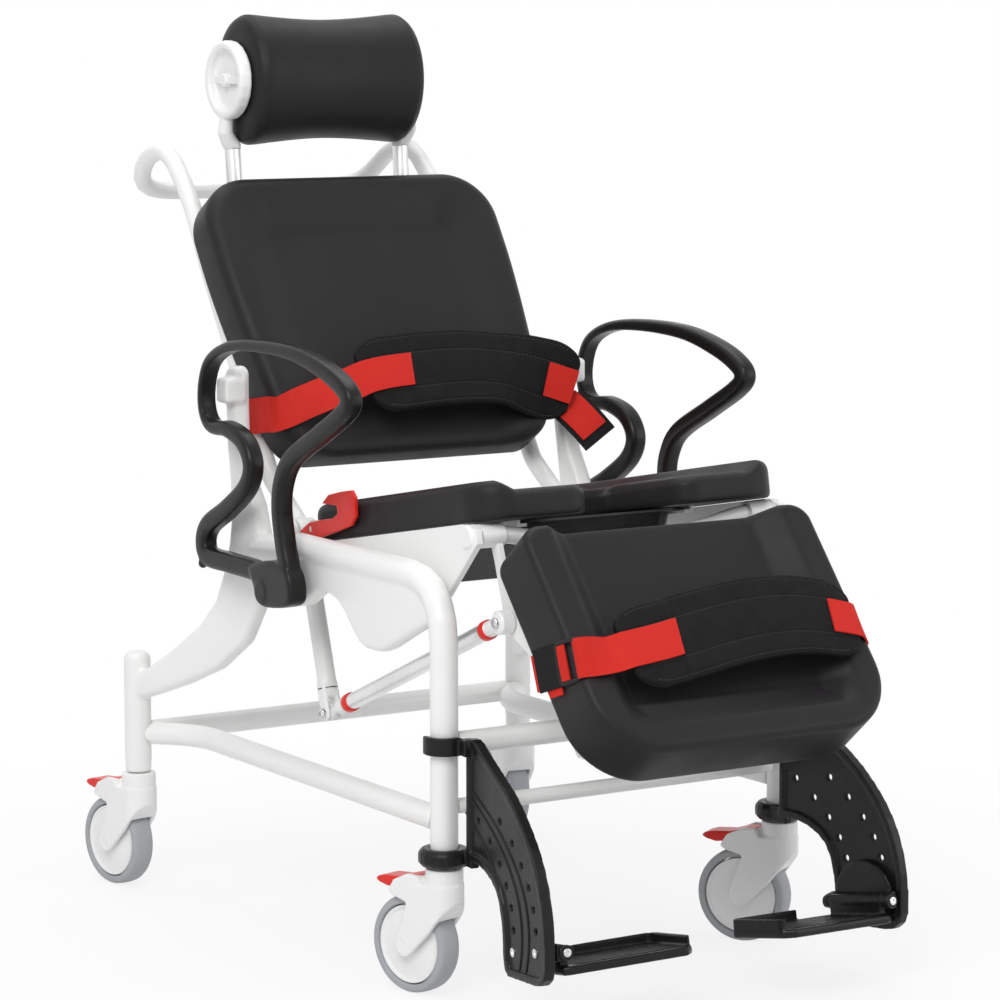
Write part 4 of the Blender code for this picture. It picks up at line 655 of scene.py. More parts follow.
def between_sides(across, half_width, bolster, slope):
    """1 between a pad's raised sides and 0 on them."""
    rise = half_width - bolster
    return 1 - ramp(abs(across), rise - slope, rise)


def back_relief(across, up):
    side = between_sides(across, BACK_HALF_WIDTH, BACK_BOLSTER, BACK_SLOPE)
    return BACK_SUNK * side * (1 - soft_step(up, *BACK_SUNK_TOP))


def calf_relief(across, up):
    side = between_sides(across, CALF_HALF_WIDTH, CALF_BOLSTER, CALF_SLOPE)
    return CALF_SUNK * side * ramp(up, *CALF_SUNK_FOOT)


def moulded_pad(name, plane, outline, thick, round_front, round_back, relief, body, node):
    """A dense moulded pad: rounded rims all round and a front face pressed in by relief(across, up)."""
    outline = spaced(outline, OUTLINE_STEP)
    half = thick / 2
    quarter = [arc((0, 0), 1, 0, 90, steps) for steps in (5, 8)]

    def ring(distance, scale, height, share):
        spots = [(p * scale, q * scale) for p, q in inset(outline, distance)]
        return [plane.at(p, q, height - share * relief(p, q)) for p, q in spots]

    rings = [ring(round_back, scale, -half, 0) for scale in (0.02, 0.2, 0.4, 0.6, 0.8, 0.95)]
    for c, s in quarter[0]:
        rings.append(ring(round_back * (1 - s), 1, round_back * (1 - c) - half, 0))
    for c, s in quarter[1]:
        rings.append(ring(round_front * (1 - c), 1, half - round_front * (1 - s), 0.7 + 0.3 * s))
    rings += [ring(round_front, 1 - k / FACE_STEPS, half, 1) for k in range(1, FACE_STEPS)]
    bm = bmesh.new()
    skin_rings(bm, rings)
    piece = new_piece(name, bm, "black_foam", body)
    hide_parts(node)


back_outline = rounded_outline(BACK_HALF_WIDTH, BACK_HALF_HEIGHT, *BACK_CORNERS, 14)
back_outline = spaced(back_outline, OUTLINE_STEP)
back_outline = [(p * back_half_width(q) / BACK_HALF_WIDTH, q) for p, q in back_outline]
moulded_pad("back_pad_skin", BACK, back_outline, BACK_THICK, *BACK_RIMS, back_relief, "back", "back_pad")
calf_outline = rounded_outline(CALF_HALF_WIDTH, (CALF_TOP + CALF_HALF_HEIGHT) / 2, *CALF_CORNERS, 14)
calf_outline = [(p, q + (CALF_TOP - CALF_HALF_HEIGHT) / 2) for p, q in calf_outline]
moulded_pad("calf_pad_skin", CALF, calf_outline, CALF_THICK, *CALF_RIMS, calf_relief, "calf", "calf_pad")


def seat_outline(steps):
    """Horseshoe outline of the seat in its own plane, counter-clockwise, as (across, along)."""
    front, rear, mouth = SEAT_FRONT_ROUND, SEAT_REAR_ROUND, SEAT_MOUTH_ROUND
    left = arc((SEAT_HALF_WIDTH - front, SEAT_FRONT + front), front, -90, 90, steps)
    left += arc((SEAT_HALF_WIDTH - rear, SEAT_REAR - rear), rear, 0, 90, steps)
    inner = []
    for p, q in arc((0, 0), 1, 90, -SEAT_HOLE_TURN, 2 * steps - 1):
        inner.append((SEAT_HOLE_HALF * p, SEAT_HOLE_MIDDLE + SEAT_HOLE_HALF_LENGTH * q))
    inner += SEAT_NECK
    inner += arc((SEAT_MOUTH_HALF + mouth, SEAT_FRONT + mouth), mouth, 180, 90, steps)
    right = [(-p, q) for p, q in reversed(left)]
    right_inner = [(-p, q) for p, q in reversed(inner[1:])]
    return left + right + right_inner + inner


def evened(bm, voxel, rounds):
    """A bmesh remade with even, close points, for shaping by formula."""
    mesh = bpy.data.meshes.new("rough")
    bm.to_mesh(mesh)
    bm.free()
    rough = bpy.data.objects.new("rough", mesh)
    bpy.context.scene.collection.objects.link(rough)
    remeshed(rough, voxel)
    bpy.context.view_layer.update()
    made = bpy.data.meshes.new_from_object(rough.evaluated_get(bpy.context.evaluated_depsgraph_get()))
    bpy.data.objects.remove(rough)
    bm = bmesh.new()
    bm.from_mesh(made)
    bpy.data.meshes.remove(mesh)
    bpy.data.meshes.remove(made)
    axes = {"use_axis_x": True, "use_axis_y": True, "use_axis_z": True}
    for _ in range(rounds):
        bmesh.ops.smooth_vert(bm, verts=bm.verts, factor=0.5, **axes)
    return bm


# Rim of the seat from its underside to its top, as (distance inwards, height over the top)
SEAT_RIM = (
    (0.003, -SEAT_THICK), (0.0, -SEAT_THICK + 0.003), (0.0, -0.013), (0.0012, -0.0085),
    (0.0040, -0.0042), (0.0080, -0.0012), (0.012, 0.0), (0.018, 0.0),
)


def seat_relief(across, along):
    """How far the seat's top lies below its raised side rims."""
    side = between_sides(across, SEAT_HALF_WIDTH, SEAT_BOLSTER, SEAT_SLOPE)
    start, end = (SEAT_REAR - distance for distance in SEAT_SUNK_REAR)
    return SEAT_SUNK * side * (1 - soft_step(along, start, end))


def seat_skin():
    """The horseshoe seat with rounded rims, raised sides and a sunk top."""
    outline = seat_outline(10)
    bm = bmesh.new()
    rings = []
    for distance, height in SEAT_RIM:
        ring = inset(outline, distance) if distance else outline
        rings.append([(p, q, height) for p, q in ring])
    skin_rings(bm, rings)
    bm.normal_update()
    bmesh.ops.triangulate(bm, faces=[f for f in bm.faces if len(f.verts) > 4])
    bmesh.ops.recalc_face_normals(bm, faces=bm.faces)
    bm = evened(bm, SEAT_VOXEL, 9)
    for vertex in bm.verts:
        across, along, height = vertex.co
        sunk = soft_step(height, *SEAT_SUNK_HEIGHTS) * seat_relief(across, along)
        vertex.co = SEAT.at(across, along, height - sunk)
    piece = new_piece("seat_skin", bm, "black_foam", "seat_unit")
    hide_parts("seat_pad")


seat_skin()


# Headrest roll from its middle to its end, as (share of the half length, share of the section)
HEAD_STATIONS = (
    (0.0, 0.915), (0.30, 0.93), (0.60, 0.965), (0.84, 0.998), (0.90, 0.975), (0.945, 0.925),
    (0.975, 0.84), (0.992, 0.72), (1.0, 0.55),
)


def head_skin():
    """The headrest bolster: a waisted roll with rounded ends."""
    half = [(share, size, 0) for share, size in HEAD_STATIONS]
    stations = [(-share, size, 0) for share, size, _ in half[:0:-1]] + half
    middle_y = HEAD_CENTRE[0] + SHIFT_Y
    rings = []
    for point in smooth_path(stations, 4):
        section = circle(72, HEAD_HALF_DEPTH * point.y, HEAD_HALF_HEIGHT * point.y)
        x = point.x * HEAD_HALF_LENGTH
        rings.append([(x, middle_y + y, HEAD_CENTRE[1] + z) for y, z in section])
    bm = bmesh.new()
    skin_rings(bm, rings)
    piece = new_piece("headrest_skin", bm, "black_foam", "headrest")
    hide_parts("head_cushion")


head_skin()


# Straps

class Route:
    """A dense path with its run lengths; ups points across whatever is laid along it."""

    def __init__(self, points, ups):
        self.points = points
        self.ups = ups
        self.runs = [0.0]
        for before, after in zip(points, points[1:]):
            self.runs.append(self.runs[-1] + (after - before).length)
        self.length = self.runs[-1]

    def lookup(self, values, run):
        k = min(max(bisect.bisect_right(self.runs, run), 1), len(self.runs) - 1)
        share = (run - self.runs[k - 1]) / (self.runs[k] - self.runs[k - 1])
        return values[k - 1].lerp(values[k], share)

    def frame(self, run):
        """Place, up across the band and out of the band at a run length."""
        place = self.lookup(self.points, run)
        forward = self.lookup(self.points, run + ROUTE_STEP) - self.lookup(self.points, run - ROUTE_STEP)
        forward.normalize()
        up = self.lookup(self.ups, run)
        up = (up - forward * up.dot(forward)).normalized()
        return place, up, forward.cross(up)

    def run_at(self, across):
        """Run length where the path first reaches a place across the chair."""
        for point, run in zip(self.points, self.runs):
            if point.x >= across:
                return run
        return self.length


def strap_route(plane, stations, turns=()):
    """Route through stations of (across, up, front). Each turn is (up, none, full): the band's width points
    along up, given in the plane, from where full is reached across the chair, and not at all at none."""
    points = []
    ups = []
    for p in smooth_path(stations, 24):
        points.append(plane.at(p.x, p.y, p.z))
        up = plane.up.copy()
        for lean, none, full in turns:
            share = soft_step(p.x, none, full) if none < full else 1 - soft_step(p.x, full, none)
            up = up.lerp((plane.up * lean[0] + plane.front * lean[1]).normalized(), share)
        ups.append(up)
    return Route(points, ups)


def band(name, route, rows, surface, look, body):
    """A closed band along a route. Each row lists its (run, across) places, surface(run, across) gives
    the heights of its top and bottom over the route, and its map is in metres."""
    bm = bmesh.new()
    layer = bm.loops.layers.uv.new("UVMap")
    rings = [[(*spot, 0) for spot in row] + [(*spot, 1) for spot in reversed(row)] for row in rows]

    def lifted(run, across, face):
        place, up, out = route.frame(run)
        return place + up * across + out * surface(run, across)[face]

    spots = {}
    for ring, loop in zip(rings, skin_rings(bm, [[lifted(*spot) for spot in ring] for ring in rings])):
        for spot, vertex in zip(ring, loop):
            spots[vertex] = spot[:2]
    for face in bm.faces:
        for corner in face.loops:
            corner[layer].uv = spots[corner.vert]
    return new_piece(name, bm, look, body)


def web_rows(start, end, half, slant=0.0):
    """Rows of a plain web of one width, whose far end may be cut aslant."""
    count = max(2, round((end - start) / WEB_STEP))
    across = [-half + 2 * half * k / (WEB_COLUMNS - 1) for k in range(WEB_COLUMNS)]
    rows = []
    for i in range(count + 1):
        run = start + (end - start) * i / count
        lean = slant * soft_step(run, end - WEB_SLANT_RUN, end)
        rows.append([(run + lean * a, a) for a in across])
    return rows


def groove(distance):
    """Depth of a stitched line at a distance from it."""
    return STITCH_DEPTH * max(0.0, 1 - abs(distance) / STITCH_HALF_WIDTH)


# Places of a quilted pad's points across it: from its middle outwards, and from its edge inwards
STITCH_SIDES = (-STITCH_HALF_WIDTH, 0.0, STITCH_HALF_WIDTH)
QUILT_LAST = 0.0295
QUILT_LINES = [0.008, 0.016, 0.0225] + [STITCH_ROW + shift for shift in STITCH_SIDES] + [QUILT_LAST]
QUILT_EDGE = [0.0112] + [STITCH_BORDER - shift for shift in STITCH_SIDES] + [0.0032, 0.0016, 0.0005, 0.0]


class Quilted:
    """A stitched pad with rounded ends, laid along a route from a starting run."""

    def __init__(self, route, start, end, seam, slant):
        self.route = route
        self.slant = slant
        self.start = start
        self.length = end - start
        self.seam = seam - start

    def corner(self, run):
        """Distance to the nearer end, and how much of the end's rounding is still to come."""
        near = max(0.0, min(run - self.start, self.start + self.length - run))
        return near, 1 - min(1.0, near / PAD_END_ROUND)

    def half_at(self, run):
        left = self.corner(run)[1]
        return PAD_HALF_WIDTH * (PAD_END_SHARE + (1 - PAD_END_SHARE) * math.sqrt(1 - left * left))

    def slope_at(self, run):
        left = self.corner(run)[1]
        steep = left / (max(0.02, math.sqrt(1 - left * left)) * PAD_END_ROUND)
        return PAD_HALF_WIDTH * (1 - PAD_END_SHARE) * steep

    def border(self, run, across):
        """How far a place lies inside the pad's outline."""
        inside = (self.half_at(run) - abs(across)) / math.sqrt(1 + self.slope_at(run) ** 2)
        return max(0.0, min(inside, self.corner(run)[0]))

    def surface(self, run, across):
        border = self.border(run, across)
        rim = 1 - min(1.0, border / PAD_RIM)
        height = PAD_THICK / 2 * (PAD_RIM_SHARE + (1 - PAD_RIM_SHARE) * math.sqrt(1 - rim * rim))
        swell = PAD_SWELL * max(0.0, 1 - (across / STITCH_ROW) ** 2) * min(1.0, border / PAD_SWELL_BORDER)
        lines = groove(border - STITCH_BORDER) + groove(run - self.start - self.seam - self.slant * across)
        if border > STITCH_ROW_BORDER:
            lines += groove(abs(across) - STITCH_ROW)
        return height + swell - lines, -height

    def rows(self):
        """Rows that are close at the round ends and along every stitched line."""
        ends = [PAD_END_ROUND * (k / 14) ** 2 for k in range(15)]
        runs = ends + [self.length - run for run in ends] + [self.seam + shift for shift in STITCH_SIDES]
        middle = self.length - 2 * PAD_END_ROUND
        even = round(middle / PAD_STEP)
        for k in range(1, even):
            run = PAD_END_ROUND + middle * k / even
            if abs(run - self.seam) > 2 * STITCH_HALF_WIDTH:
                runs.append(run)
        return [self.row(run) for run in sorted(runs)]

    def row(self, run):
        half = self.half_at(self.start + run)
        squeeze = min(1.0, (half - 0.0125) / QUILT_LAST)
        side = [value * squeeze for value in QUILT_LINES] + [half - value for value in QUILT_EDGE]
        across = [-value for value in reversed(side)] + [0.0] + side
        lean = self.slant * math.exp(-((run - self.seam) / 0.05) ** 2)
        return [(self.start + run + lean * value, value) for value in across]

    def stitch(self, bm, run, line):
        """One short stitch along a line, raised in its middle."""
        rings = []
        wide, high = STITCH_HALF
        for k, lift in enumerate(STITCH_LIFTS):
            here = run + STITCH_LENGTH * k / 3
            place, up, out = self.route.frame(here)
            middle = place + up * line + out * (self.surface(here, line)[0] + lift)
            corners = ((-1, -1), (1, -1), (1, 1), (-1, 1))
            rings.append([middle + up * wide * a + out * high * b for a, b in corners])
        skin_rings(bm, rings)

    def thread(self, name, body):
        """Short stitches lying in the grooves."""
        bm = bmesh.new()
        run = self.start + STITCH_ENDS[0]
        while run < self.start + self.length - STITCH_ENDS[1]:
            edge = self.half_at(run) - STITCH_BORDER * math.sqrt(1 + self.slope_at(run) ** 2)
            for line in (-edge, -STITCH_ROW, STITCH_ROW, edge):
                self.stitch(bm, run, line)
            run += STITCH_PITCH
        return new_piece(name, bm, "thread", body)


def padded_strap(label, route, body, node, pad, webs):
    """A strap's stitched pad with red webbing lying on its ends; webs lists (name, from, to, slant)."""
    piece = band(label + "_pad", route, pad.rows(), pad.surface, "mesh_cloth", body)
    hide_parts(node)
    pieces = [piece, pad.thread(label + "_stitches", body)]
    end = pad.start + pad.length

    def laid(run, across):
        inside = soft_step(run - pad.start, *WEB_ON_PAD) - soft_step(run - end, *WEB_OFF_PAD)
        lift = inside * (PAD_THICK / 2 + WEB_LIFT)
        return lift + WEB_HALF_THICK, lift - WEB_HALF_THICK

    for name, first, last, slant in webs:
        rows = web_rows(first, last, WEB_HALF_WIDTH * 0.98, slant)
        pieces.append(band(label + "_" + name, route, rows, laid, "red_web", body))
    return pieces


BACK_ROUTE = strap_route(BACK, [
    (-0.1955, -0.1040, -0.0440), (-0.1965, -0.1065, -0.0545), (-0.2030, -0.1095, -0.0620),
    (-0.2105, -0.1125, -0.0640), (-0.2195, -0.1155, -0.0600), (-0.2245, -0.1195, -0.0500),
    (-0.2235, -0.1290, -0.0290), (-0.2215, -0.1450, 0.0080), (-0.2140, -0.1560, 0.0320),
    (-0.170, -0.1445, 0.0440), (-0.085, -0.1235, 0.0535),
    (-0.015, -0.1170, 0.0575), (0.080, -0.1140, 0.0560), (0.150, -0.1220, 0.0520), (0.195, -0.1380, 0.0540),
    (0.222, -0.1500, 0.0570), (0.239, -0.1590, 0.0600),
], (((0.90, 0.43), 0.12, 0.23),))
BACK_SLANT = 0.22
back_pad_run = (BACK_ROUTE.run_at(-0.088), BACK_ROUTE.length)
back_seam = BACK_ROUTE.run_at(-0.012)
back_webs = (
    ("web_right", 0.0, back_seam, BACK_SLANT),
    ("web_left", BACK_ROUTE.run_at(0.200), back_pad_run[1], 0),
)
back_quilt = Quilted(BACK_ROUTE, *back_pad_run, back_seam, BACK_SLANT)
for soft_piece in padded_strap("back_belt", BACK_ROUTE, "back", "back_belt", back_quilt, back_webs):
    if not soft_piece.name.endswith("web_right"):
        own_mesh(soft_piece)

# The calf strap's ring in the calf plane, as (across, up, front): its corner, its rear bar and its length
RING_CORNER = Vector((-0.2195, -0.0499, 0.0006))
RING_BAR = Vector((0.0, 0.0487, 0.0209))
RING_REACH = Vector((0.0060, -0.0139, 0.0380))
CALF_SLANT = 0.32
CALF_ROUTE = strap_route(CALF, [
    tuple(RING_CORNER + RING_BAR * 0.5 + RING_REACH * 0.80),
    tuple(RING_CORNER + RING_BAR * 0.5 + RING_REACH * 1.1),
    (-0.165, -0.0420, 0.0535), (-0.110, -0.0370, 0.0545), (-0.070, -0.0310, 0.0555), (0.0, -0.0200, 0.0565),
    (0.070, -0.0140, 0.0560), (0.130, -0.0165, 0.0530), (0.185, -0.0270, 0.0485), (0.2110, -0.0320, 0.0410),
    (0.2190, -0.0330, 0.0220), (0.2190, -0.0340, -0.040),
], (((RING_BAR.y, RING_BAR.z), -0.165, -0.212),))
calf_pad_run = (CALF_ROUTE.run_at(-0.153), CALF_ROUTE.run_at(0.200))
calf_seam = CALF_ROUTE.run_at(-0.073)
padded_strap("calf_strap", CALF_ROUTE, "calf", "calf_strap",
             Quilted(CALF_ROUTE, *calf_pad_run, calf_seam, CALF_SLANT),
             (("web_right", 0.0, calf_seam, CALF_SLANT),
              ("web_left", CALF_ROUTE.run_at(0.160), CALF_ROUTE.length, 0)))


def flat(top, bottom):
    return lambda run, across: (top, bottom)


def belt_tail():
    """The belt's loose left end: red tape on a black hook strip that hangs from behind the pad."""
    shift = Vector((0, SHIFT_Y, 0))
    start = Vector(TAIL_START) + shift
    end = Vector(TAIL_END) + shift
    points = []
    for k in range(13):
        sag = TAIL_SAG * math.sin(math.pi * k / 12)
        points.append(start.lerp(end, k / 12) + Vector((0, -sag, 0)))
    route = Route(points, [Vector(TAIL_LEAN)] * len(points))
    tape = web_rows(0.0, route.length - TAIL_TAPE[0], TAIL_TAPE[1])
    strip = web_rows(TAIL_STRIP[0], route.length, TAIL_STRIP[1])
    for piece in (
        band("back_belt_tape", route, tape, flat(WEB_HALF_THICK, -WEB_HALF_THICK), "red_web", "back"),
        band("back_belt_hook_strip", route, strip, flat(*TAIL_STRIP_FACES), "black_web", "back"),
    ):
        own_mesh(piece)


belt_tail()


def ring_place(along, across, lift=0.0):
    """A place by shares of the ring's reach and its bar, lifted off the pad's side."""
    place = RING_CORNER + RING_REACH * along + RING_BAR * across
    return CALF.at(place.x - lift, place.y, place.z)


# Webs at the ring: name, shares of the ring's reach and its bar, half width, looks and lift
CALF_WEBS = (
    ("calf_strap_fold", 0.12, 0.48, 0.50, 0.0215, "red_web", 0.0016),
    ("calf_strap_black_web", -0.98, 0.04, 0.50, 0.0265, "black_web", 0.0),
    ("calf_strap_web_rear", -1.16, -0.60, 0.47, 0.0225, "red_web", -0.0024),
    ("calf_strap_tail", -0.62, -0.02, -0.06, 0.0060, "red_web", -0.0022),
)


def calf_adjuster():
    """Ring adjuster of the calf strap on the pad's right edge, with the webs that pass it."""
    bm = bmesh.new()
    corners = []
    for p, q in rounded_outline(0.5, 0.5, RING_ROUND, RING_ROUND, 5):
        corners.append(ring_place(0.5 + p * RING_SHARES[0], 0.5 + q * RING_SHARES[1], RING_LIFT))
    swept(bm, corners, circle(12, *RING_WIRE), (1, 0, 0), True)
    new_piece("calf_strap_ring", bm, "black_plastic", "calf")
    width = (ring_place(0, 1) - ring_place(0, 0)).normalized()
    for name, first, last, middle, half, look, lift in CALF_WEBS:
        route = Route([ring_place(first, middle, lift), ring_place(last, middle, lift)], [width, width])
        rows = web_rows(0.0, route.length, half)
        band(name, route, rows, flat(WEB_HALF_THICK, -WEB_HALF_THICK), look, "calf")


calf_adjuster()


# Armrests, rods, wheels and small fasteners

def for_each_side(build):
    """Run a builder for the right side, at negative X, and the left side."""
    for label, sign in (("right", -1), ("left", 1)):
        build(label, sign)


# Armrest loop as (y, z, share of the inner half depth)
ARM_ROUTE = [
    (0.096, 0.478, 1.0), (0.086, 0.500, 1.0), (0.097, 0.535, 0.9), (0.107, 0.580, 0.8),
    (0.101, 0.617, 0.8), (0.074, 0.651, 0.8), (0.001, 0.689, 0.8), (-0.056, 0.719, 0.8),
    (-0.075, 0.737, 0.8), (-0.057, 0.753, 0.8), (-0.012, 0.769, 0.7), (0.059, 0.782, 0.45),
    (0.150, 0.784, 0.25), (0.232, 0.777, 0.10), (0.285, 0.758, 0.05), (0.305, 0.730, 0.05),
    (0.307, 0.696, 0.05), (0.290, 0.676, 0.3), (0.246, 0.674, 0.6), (0.202, 0.659, 0.8),
    (0.182, 0.630, 0.8), (0.198, 0.598, 0.8), (0.250, 0.565, 0.9), (0.303, 0.538, 1.0),
    (0.318, 0.514, 1.0), (0.305, 0.495, 1.0), (0.245, 0.493, 1.0), (0.170, 0.491, 1.0),
]
ARM_BLOCK = [
    (0.172, 0.500), (0.120, 0.512), (0.074, 0.505), (0.062, 0.473), (0.077, 0.457), (0.132, 0.449),
    (0.150, 0.455), (0.168, 0.480),
]
ARM_BOSS = [(0.0004, -0.004), (0.016, -0.004), (0.016, 0.0004), (0.0150, 0.0012), (0.0004, 0.0012)]


def armrest(label, sign):
    """The armrest's moulded loop with the block and boss at its pivot and a ball at its rear end."""
    bm = bmesh.new()
    path = smooth_path([(sign * ARM_X, y + SHIFT_Y, z, left) for y, z, left in ARM_ROUTE], 10, True)
    section = rounded_outline(ARM_HALF_WIDTH, ARM_HALF_DEPTH, ARM_ROUND, ARM_ROUND, 5)
    swept(bm, [p.to_3d() for p in path], section, (1, 0, 0), True, [max(0.03, p.w) for p in path])
    rounded = [(p.x, p.y) for p in smooth_path([(y + SHIFT_Y, z, 0) for y, z in ARM_BLOCK], 6, True)]
    near, far = sorted(sign * x for x in ARM_BLOCK_X)
    block_along_x(bm, rounded, near, far, ARM_BLOCK_RIM)
    outer = facing((sign * ARM_BLOCK_X[1], ARM_PIVOT[0] + SHIFT_Y, ARM_PIVOT[1]), (sign, 0, 0))
    turned(bm, ARM_BOSS, outer, 32)
    beyond, y, z = ARM_BALL_PLACE
    ball = Matrix.Translation((sign * (ARM_X + beyond), y + SHIFT_Y, z))
    turned(bm, arc((0, 0), ARM_BALL, -85, 170, 8), ball, 20)
    piece = new_piece("armrest_skin_" + label, bm, "black_plastic", "arm_" + label)
    melt(piece, ARM_VOXEL, 16)
    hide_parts("armrest_" + label)


for_each_side(armrest)


def socket_screw(name, matrix, radius, height, body):
    """A cap screw with a rounded head and a hexagon socket, standing on the frame's XY plane."""
    hexagon = radius * 0.48
    profile = [
        (radius, 0.0, 0), (radius, height * 0.75, 0), (radius * 0.94, height * 0.93, 0),
        (radius * 0.84, height, 0), (hexagon, height, 1), (hexagon * 0.97, height * 0.35, 1),
        (hexagon * 0.05, height * 0.30, 1),
    ]
    rings = []
    for size, level, hexed in profile:
        ring = []
        for k in range(36):
            angle = math.tau * k / 36
            flat_share = math.cos((angle % math.radians(60)) - math.radians(30))
            reach = size / flat_share if hexed else size
            ring.append(matrix @ Vector((reach * math.cos(angle), reach * math.sin(angle), level)))
        rings.append(ring)
    bm = bmesh.new()
    skin_rings(bm, rings)
    return new_piece(name, bm, "steel", body)


def rod_details(label, sign):
    """Bright tube, red clips and cap screws of a calf rod, and the seam on the lever that works it."""
    body = "rod_" + label
    outward = Vector((sign, 0, 0))
    rear = Vector((sign * ROD_X, ROD_REAR_PIVOT[0] + SHIFT_Y, ROD_REAR_PIVOT[1]))
    front = Vector((sign * ROD_X, ROD_FRONT_PIVOT[0] + SHIFT_Y, ROD_FRONT_PIVOT[1]))
    run = (front - rear).normalized()
    length = (front - rear).length
    bm = bmesh.new()
    tube = [(ROD_RADIUS - 0.0012, ROD_REAR_FITTING), (ROD_RADIUS + 0.0003, ROD_REAR_FITTING + 0.0008)]
    tube += [(r, length - ROD_FRONT_FITTING - h + ROD_REAR_FITTING) for r, h in reversed(tube)]
    turned(bm, tube, facing(rear, run), 40)
    new_piece("calf_rod_tube_" + label, bm, "aluminium", body)
    bm = bmesh.new()
    inner, outer = ROD_RADIUS - 0.0006, ROD_RADIUS + ROD_CLIP_RIM
    clip = [(inner, -ROD_CLIP_HALF), (outer - 0.0008, -ROD_CLIP_HALF), (outer, -ROD_CLIP_HALF + 0.0012)]
    rear_clip, front_clip = ROD_CLIP_PLACES
    for place in (ROD_REAR_FITTING + rear_clip, length - ROD_FRONT_FITTING - front_clip):
        turned(bm, mirrored(clip), facing(rear + run * place, run), 40, True)
    new_piece("calf_rod_clips_" + label, bm, "red_plastic", body)
    front_face = facing(front + outward * ROD_FRONT_FACE, outward)
    rear_face = facing(rear + outward * ROD_REAR_FACE, outward)
    socket_screw("calf_rod_front_screw_" + label, front_face, *ROD_FRONT_SCREW, body)
    socket_screw("calf_rod_rear_screw_" + label, rear_face, *ROD_REAR_SCREW, "back")
    pivot = Vector((sign * BACK_TUBE_X, BACK_PIVOT[0] + SHIFT_Y, BACK_PIVOT[1]))
    lever = (pivot - rear).normalized()
    bm = bmesh.new()
    seam = [(BACK_TUBE_RADIUS - 0.001, -0.0005), (BACK_TUBE_RADIUS + 0.0004, -0.0005)]
    turned(bm, mirrored(seam), facing(rear + lever * LEVER_SEAM, lever), 40, True)
    new_piece("lever_seam_" + label, bm, "black_plastic", "back")


for_each_side(rod_details)


# Knee tube from its end to its middle, as (across, dip)
KNEE_DIP = ((0.222, 0.0), (0.190, 0.0), (0.165, 0.003), (0.110, 0.015), (0.060, 0.022))


def knee_tube():
    """The cross tube at the knee, whose middle dips behind the calf pad."""
    half = [(x, KNEE_PIVOT[0] + SHIFT_Y, KNEE_PIVOT[1] - drop) for x, drop in KNEE_DIP]
    stations = [(-x, y, z) for x, y, z in half] + [(0.0, half[-1][1], half[-1][2] - 0.001)] + half[::-1]
    bm = bmesh.new()
    swept(bm, smooth_path(stations, 8), circle(24, KNEE_TUBE_RADIUS, KNEE_TUBE_RADIUS), (0, 1, 0))
    piece = new_piece("knee_tube_skin", bm, "white_paint", "seat_unit")
    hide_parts("knee_tube")


knee_tube()


# Halves of the wheel's turned profiles as (radius, height), and the ring on the fork round its axle
TYRE_SIDE = [
    (HUB_RADIUS - 0.0005, -TYRE_HALF_WIDTH + 0.0070), (HUB_RADIUS, -TYRE_HALF_WIDTH + 0.0010),
    (HUB_RADIUS + 0.0010, -TYRE_HALF_WIDTH), (WHEEL_RADIUS - 0.0050, -TYRE_HALF_WIDTH),
    (WHEEL_RADIUS - 0.0026, -TYRE_HALF_WIDTH + 0.0012), (WHEEL_RADIUS - 0.0010, -TYRE_HALF_WIDTH + 0.0040),
    (WHEEL_RADIUS - 0.0003, -TYRE_HALF_WIDTH + 0.0080), (WHEEL_RADIUS, -0.002),
]
HUB_SIDE = [
    (0.0066, -0.0140), (0.0150, -0.0140), (0.0162, -0.0131), (0.0440, -0.0128), (0.0452, -0.0140),
    (0.0488, -0.0144), (HUB_RADIUS - 0.0019, -0.0132), (HUB_RADIUS - 0.0016, -0.0080),
]
AXLE_RING = [(0.0095, -0.0006), (0.0103, 0.0006), (0.0111, -0.0006)]


def wheel(corner, axis):
    """A turned tyre and hub, each in place of its plain solid, and the rings on the fork."""
    low, high = (Vector(p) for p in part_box("castor_tyre_" + corner))
    middle = (low + high) / 2
    bm = bmesh.new()
    turned(bm, mirrored(TYRE_SIDE), facing(middle, axis), 96, True)
    tyre = new_piece("tyre_skin_" + corner, bm, "grey_rubber", "wheel_" + corner)
    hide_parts("castor_tyre_" + corner)
    bm = bmesh.new()
    turned(bm, mirrored(HUB_SIDE), facing(middle, axis), 96, True)
    hub = new_piece("hub_skin_" + corner, bm, "white_plastic", "wheel_" + corner)
    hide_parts("castor_hub_" + corner)
    bm = bmesh.new()
    for way in (-1, 1):
        side = (Vector(axis) * way).normalized()
        turned(bm, AXLE_RING, facing(middle + side * FORK_HALF_WIDTH, side), 40, True)
    new_piece("fork_axle_rings_" + corner, bm, "white_plastic", "castor_" + corner)


for joint in frame["record"]["behaviour"]["joints"]:
    if joint["name"].startswith("wheel_spin_"):
        wheel(joint["name"][len("wheel_spin_"):], joint["axis"])


def beside_leg(sign, reach, offset, height):
    """A place on the turned-out footrest, by its reach from the leg and its offset across."""
    x = LEG_X + reach * math.sin(FOOT_TOE_OUT) + offset * math.cos(FOOT_TOE_OUT)
    y = LEG_Y - reach * math.cos(FOOT_TOE_OUT) + offset * math.sin(FOOT_TOE_OUT)
    return Vector((sign * x, y + SHIFT_Y, height))


# Ribs of the footrest arm as (share of the way from the first row of holes to the second, start, end)
FOOT_RIBS = ((-0.33, -0.06, 1.00), (0.39, -0.20, 1.20), (0.70, -0.26, 1.20))
FOOT_RIB_SECTION = [(-0.0010, -0.0020), (0.0012, -0.0013), (0.0017, 0.0), (0.0012, 0.0013), (-0.0010, 0.0020)]


def row_place(row, t):
    """A place on a curved row of holes as (reach, height)."""
    start, bend, end = (Vector(point) for point in row)
    return start * (1 - t) ** 2 + bend * (2 * t * (1 - t)) + end * t * t


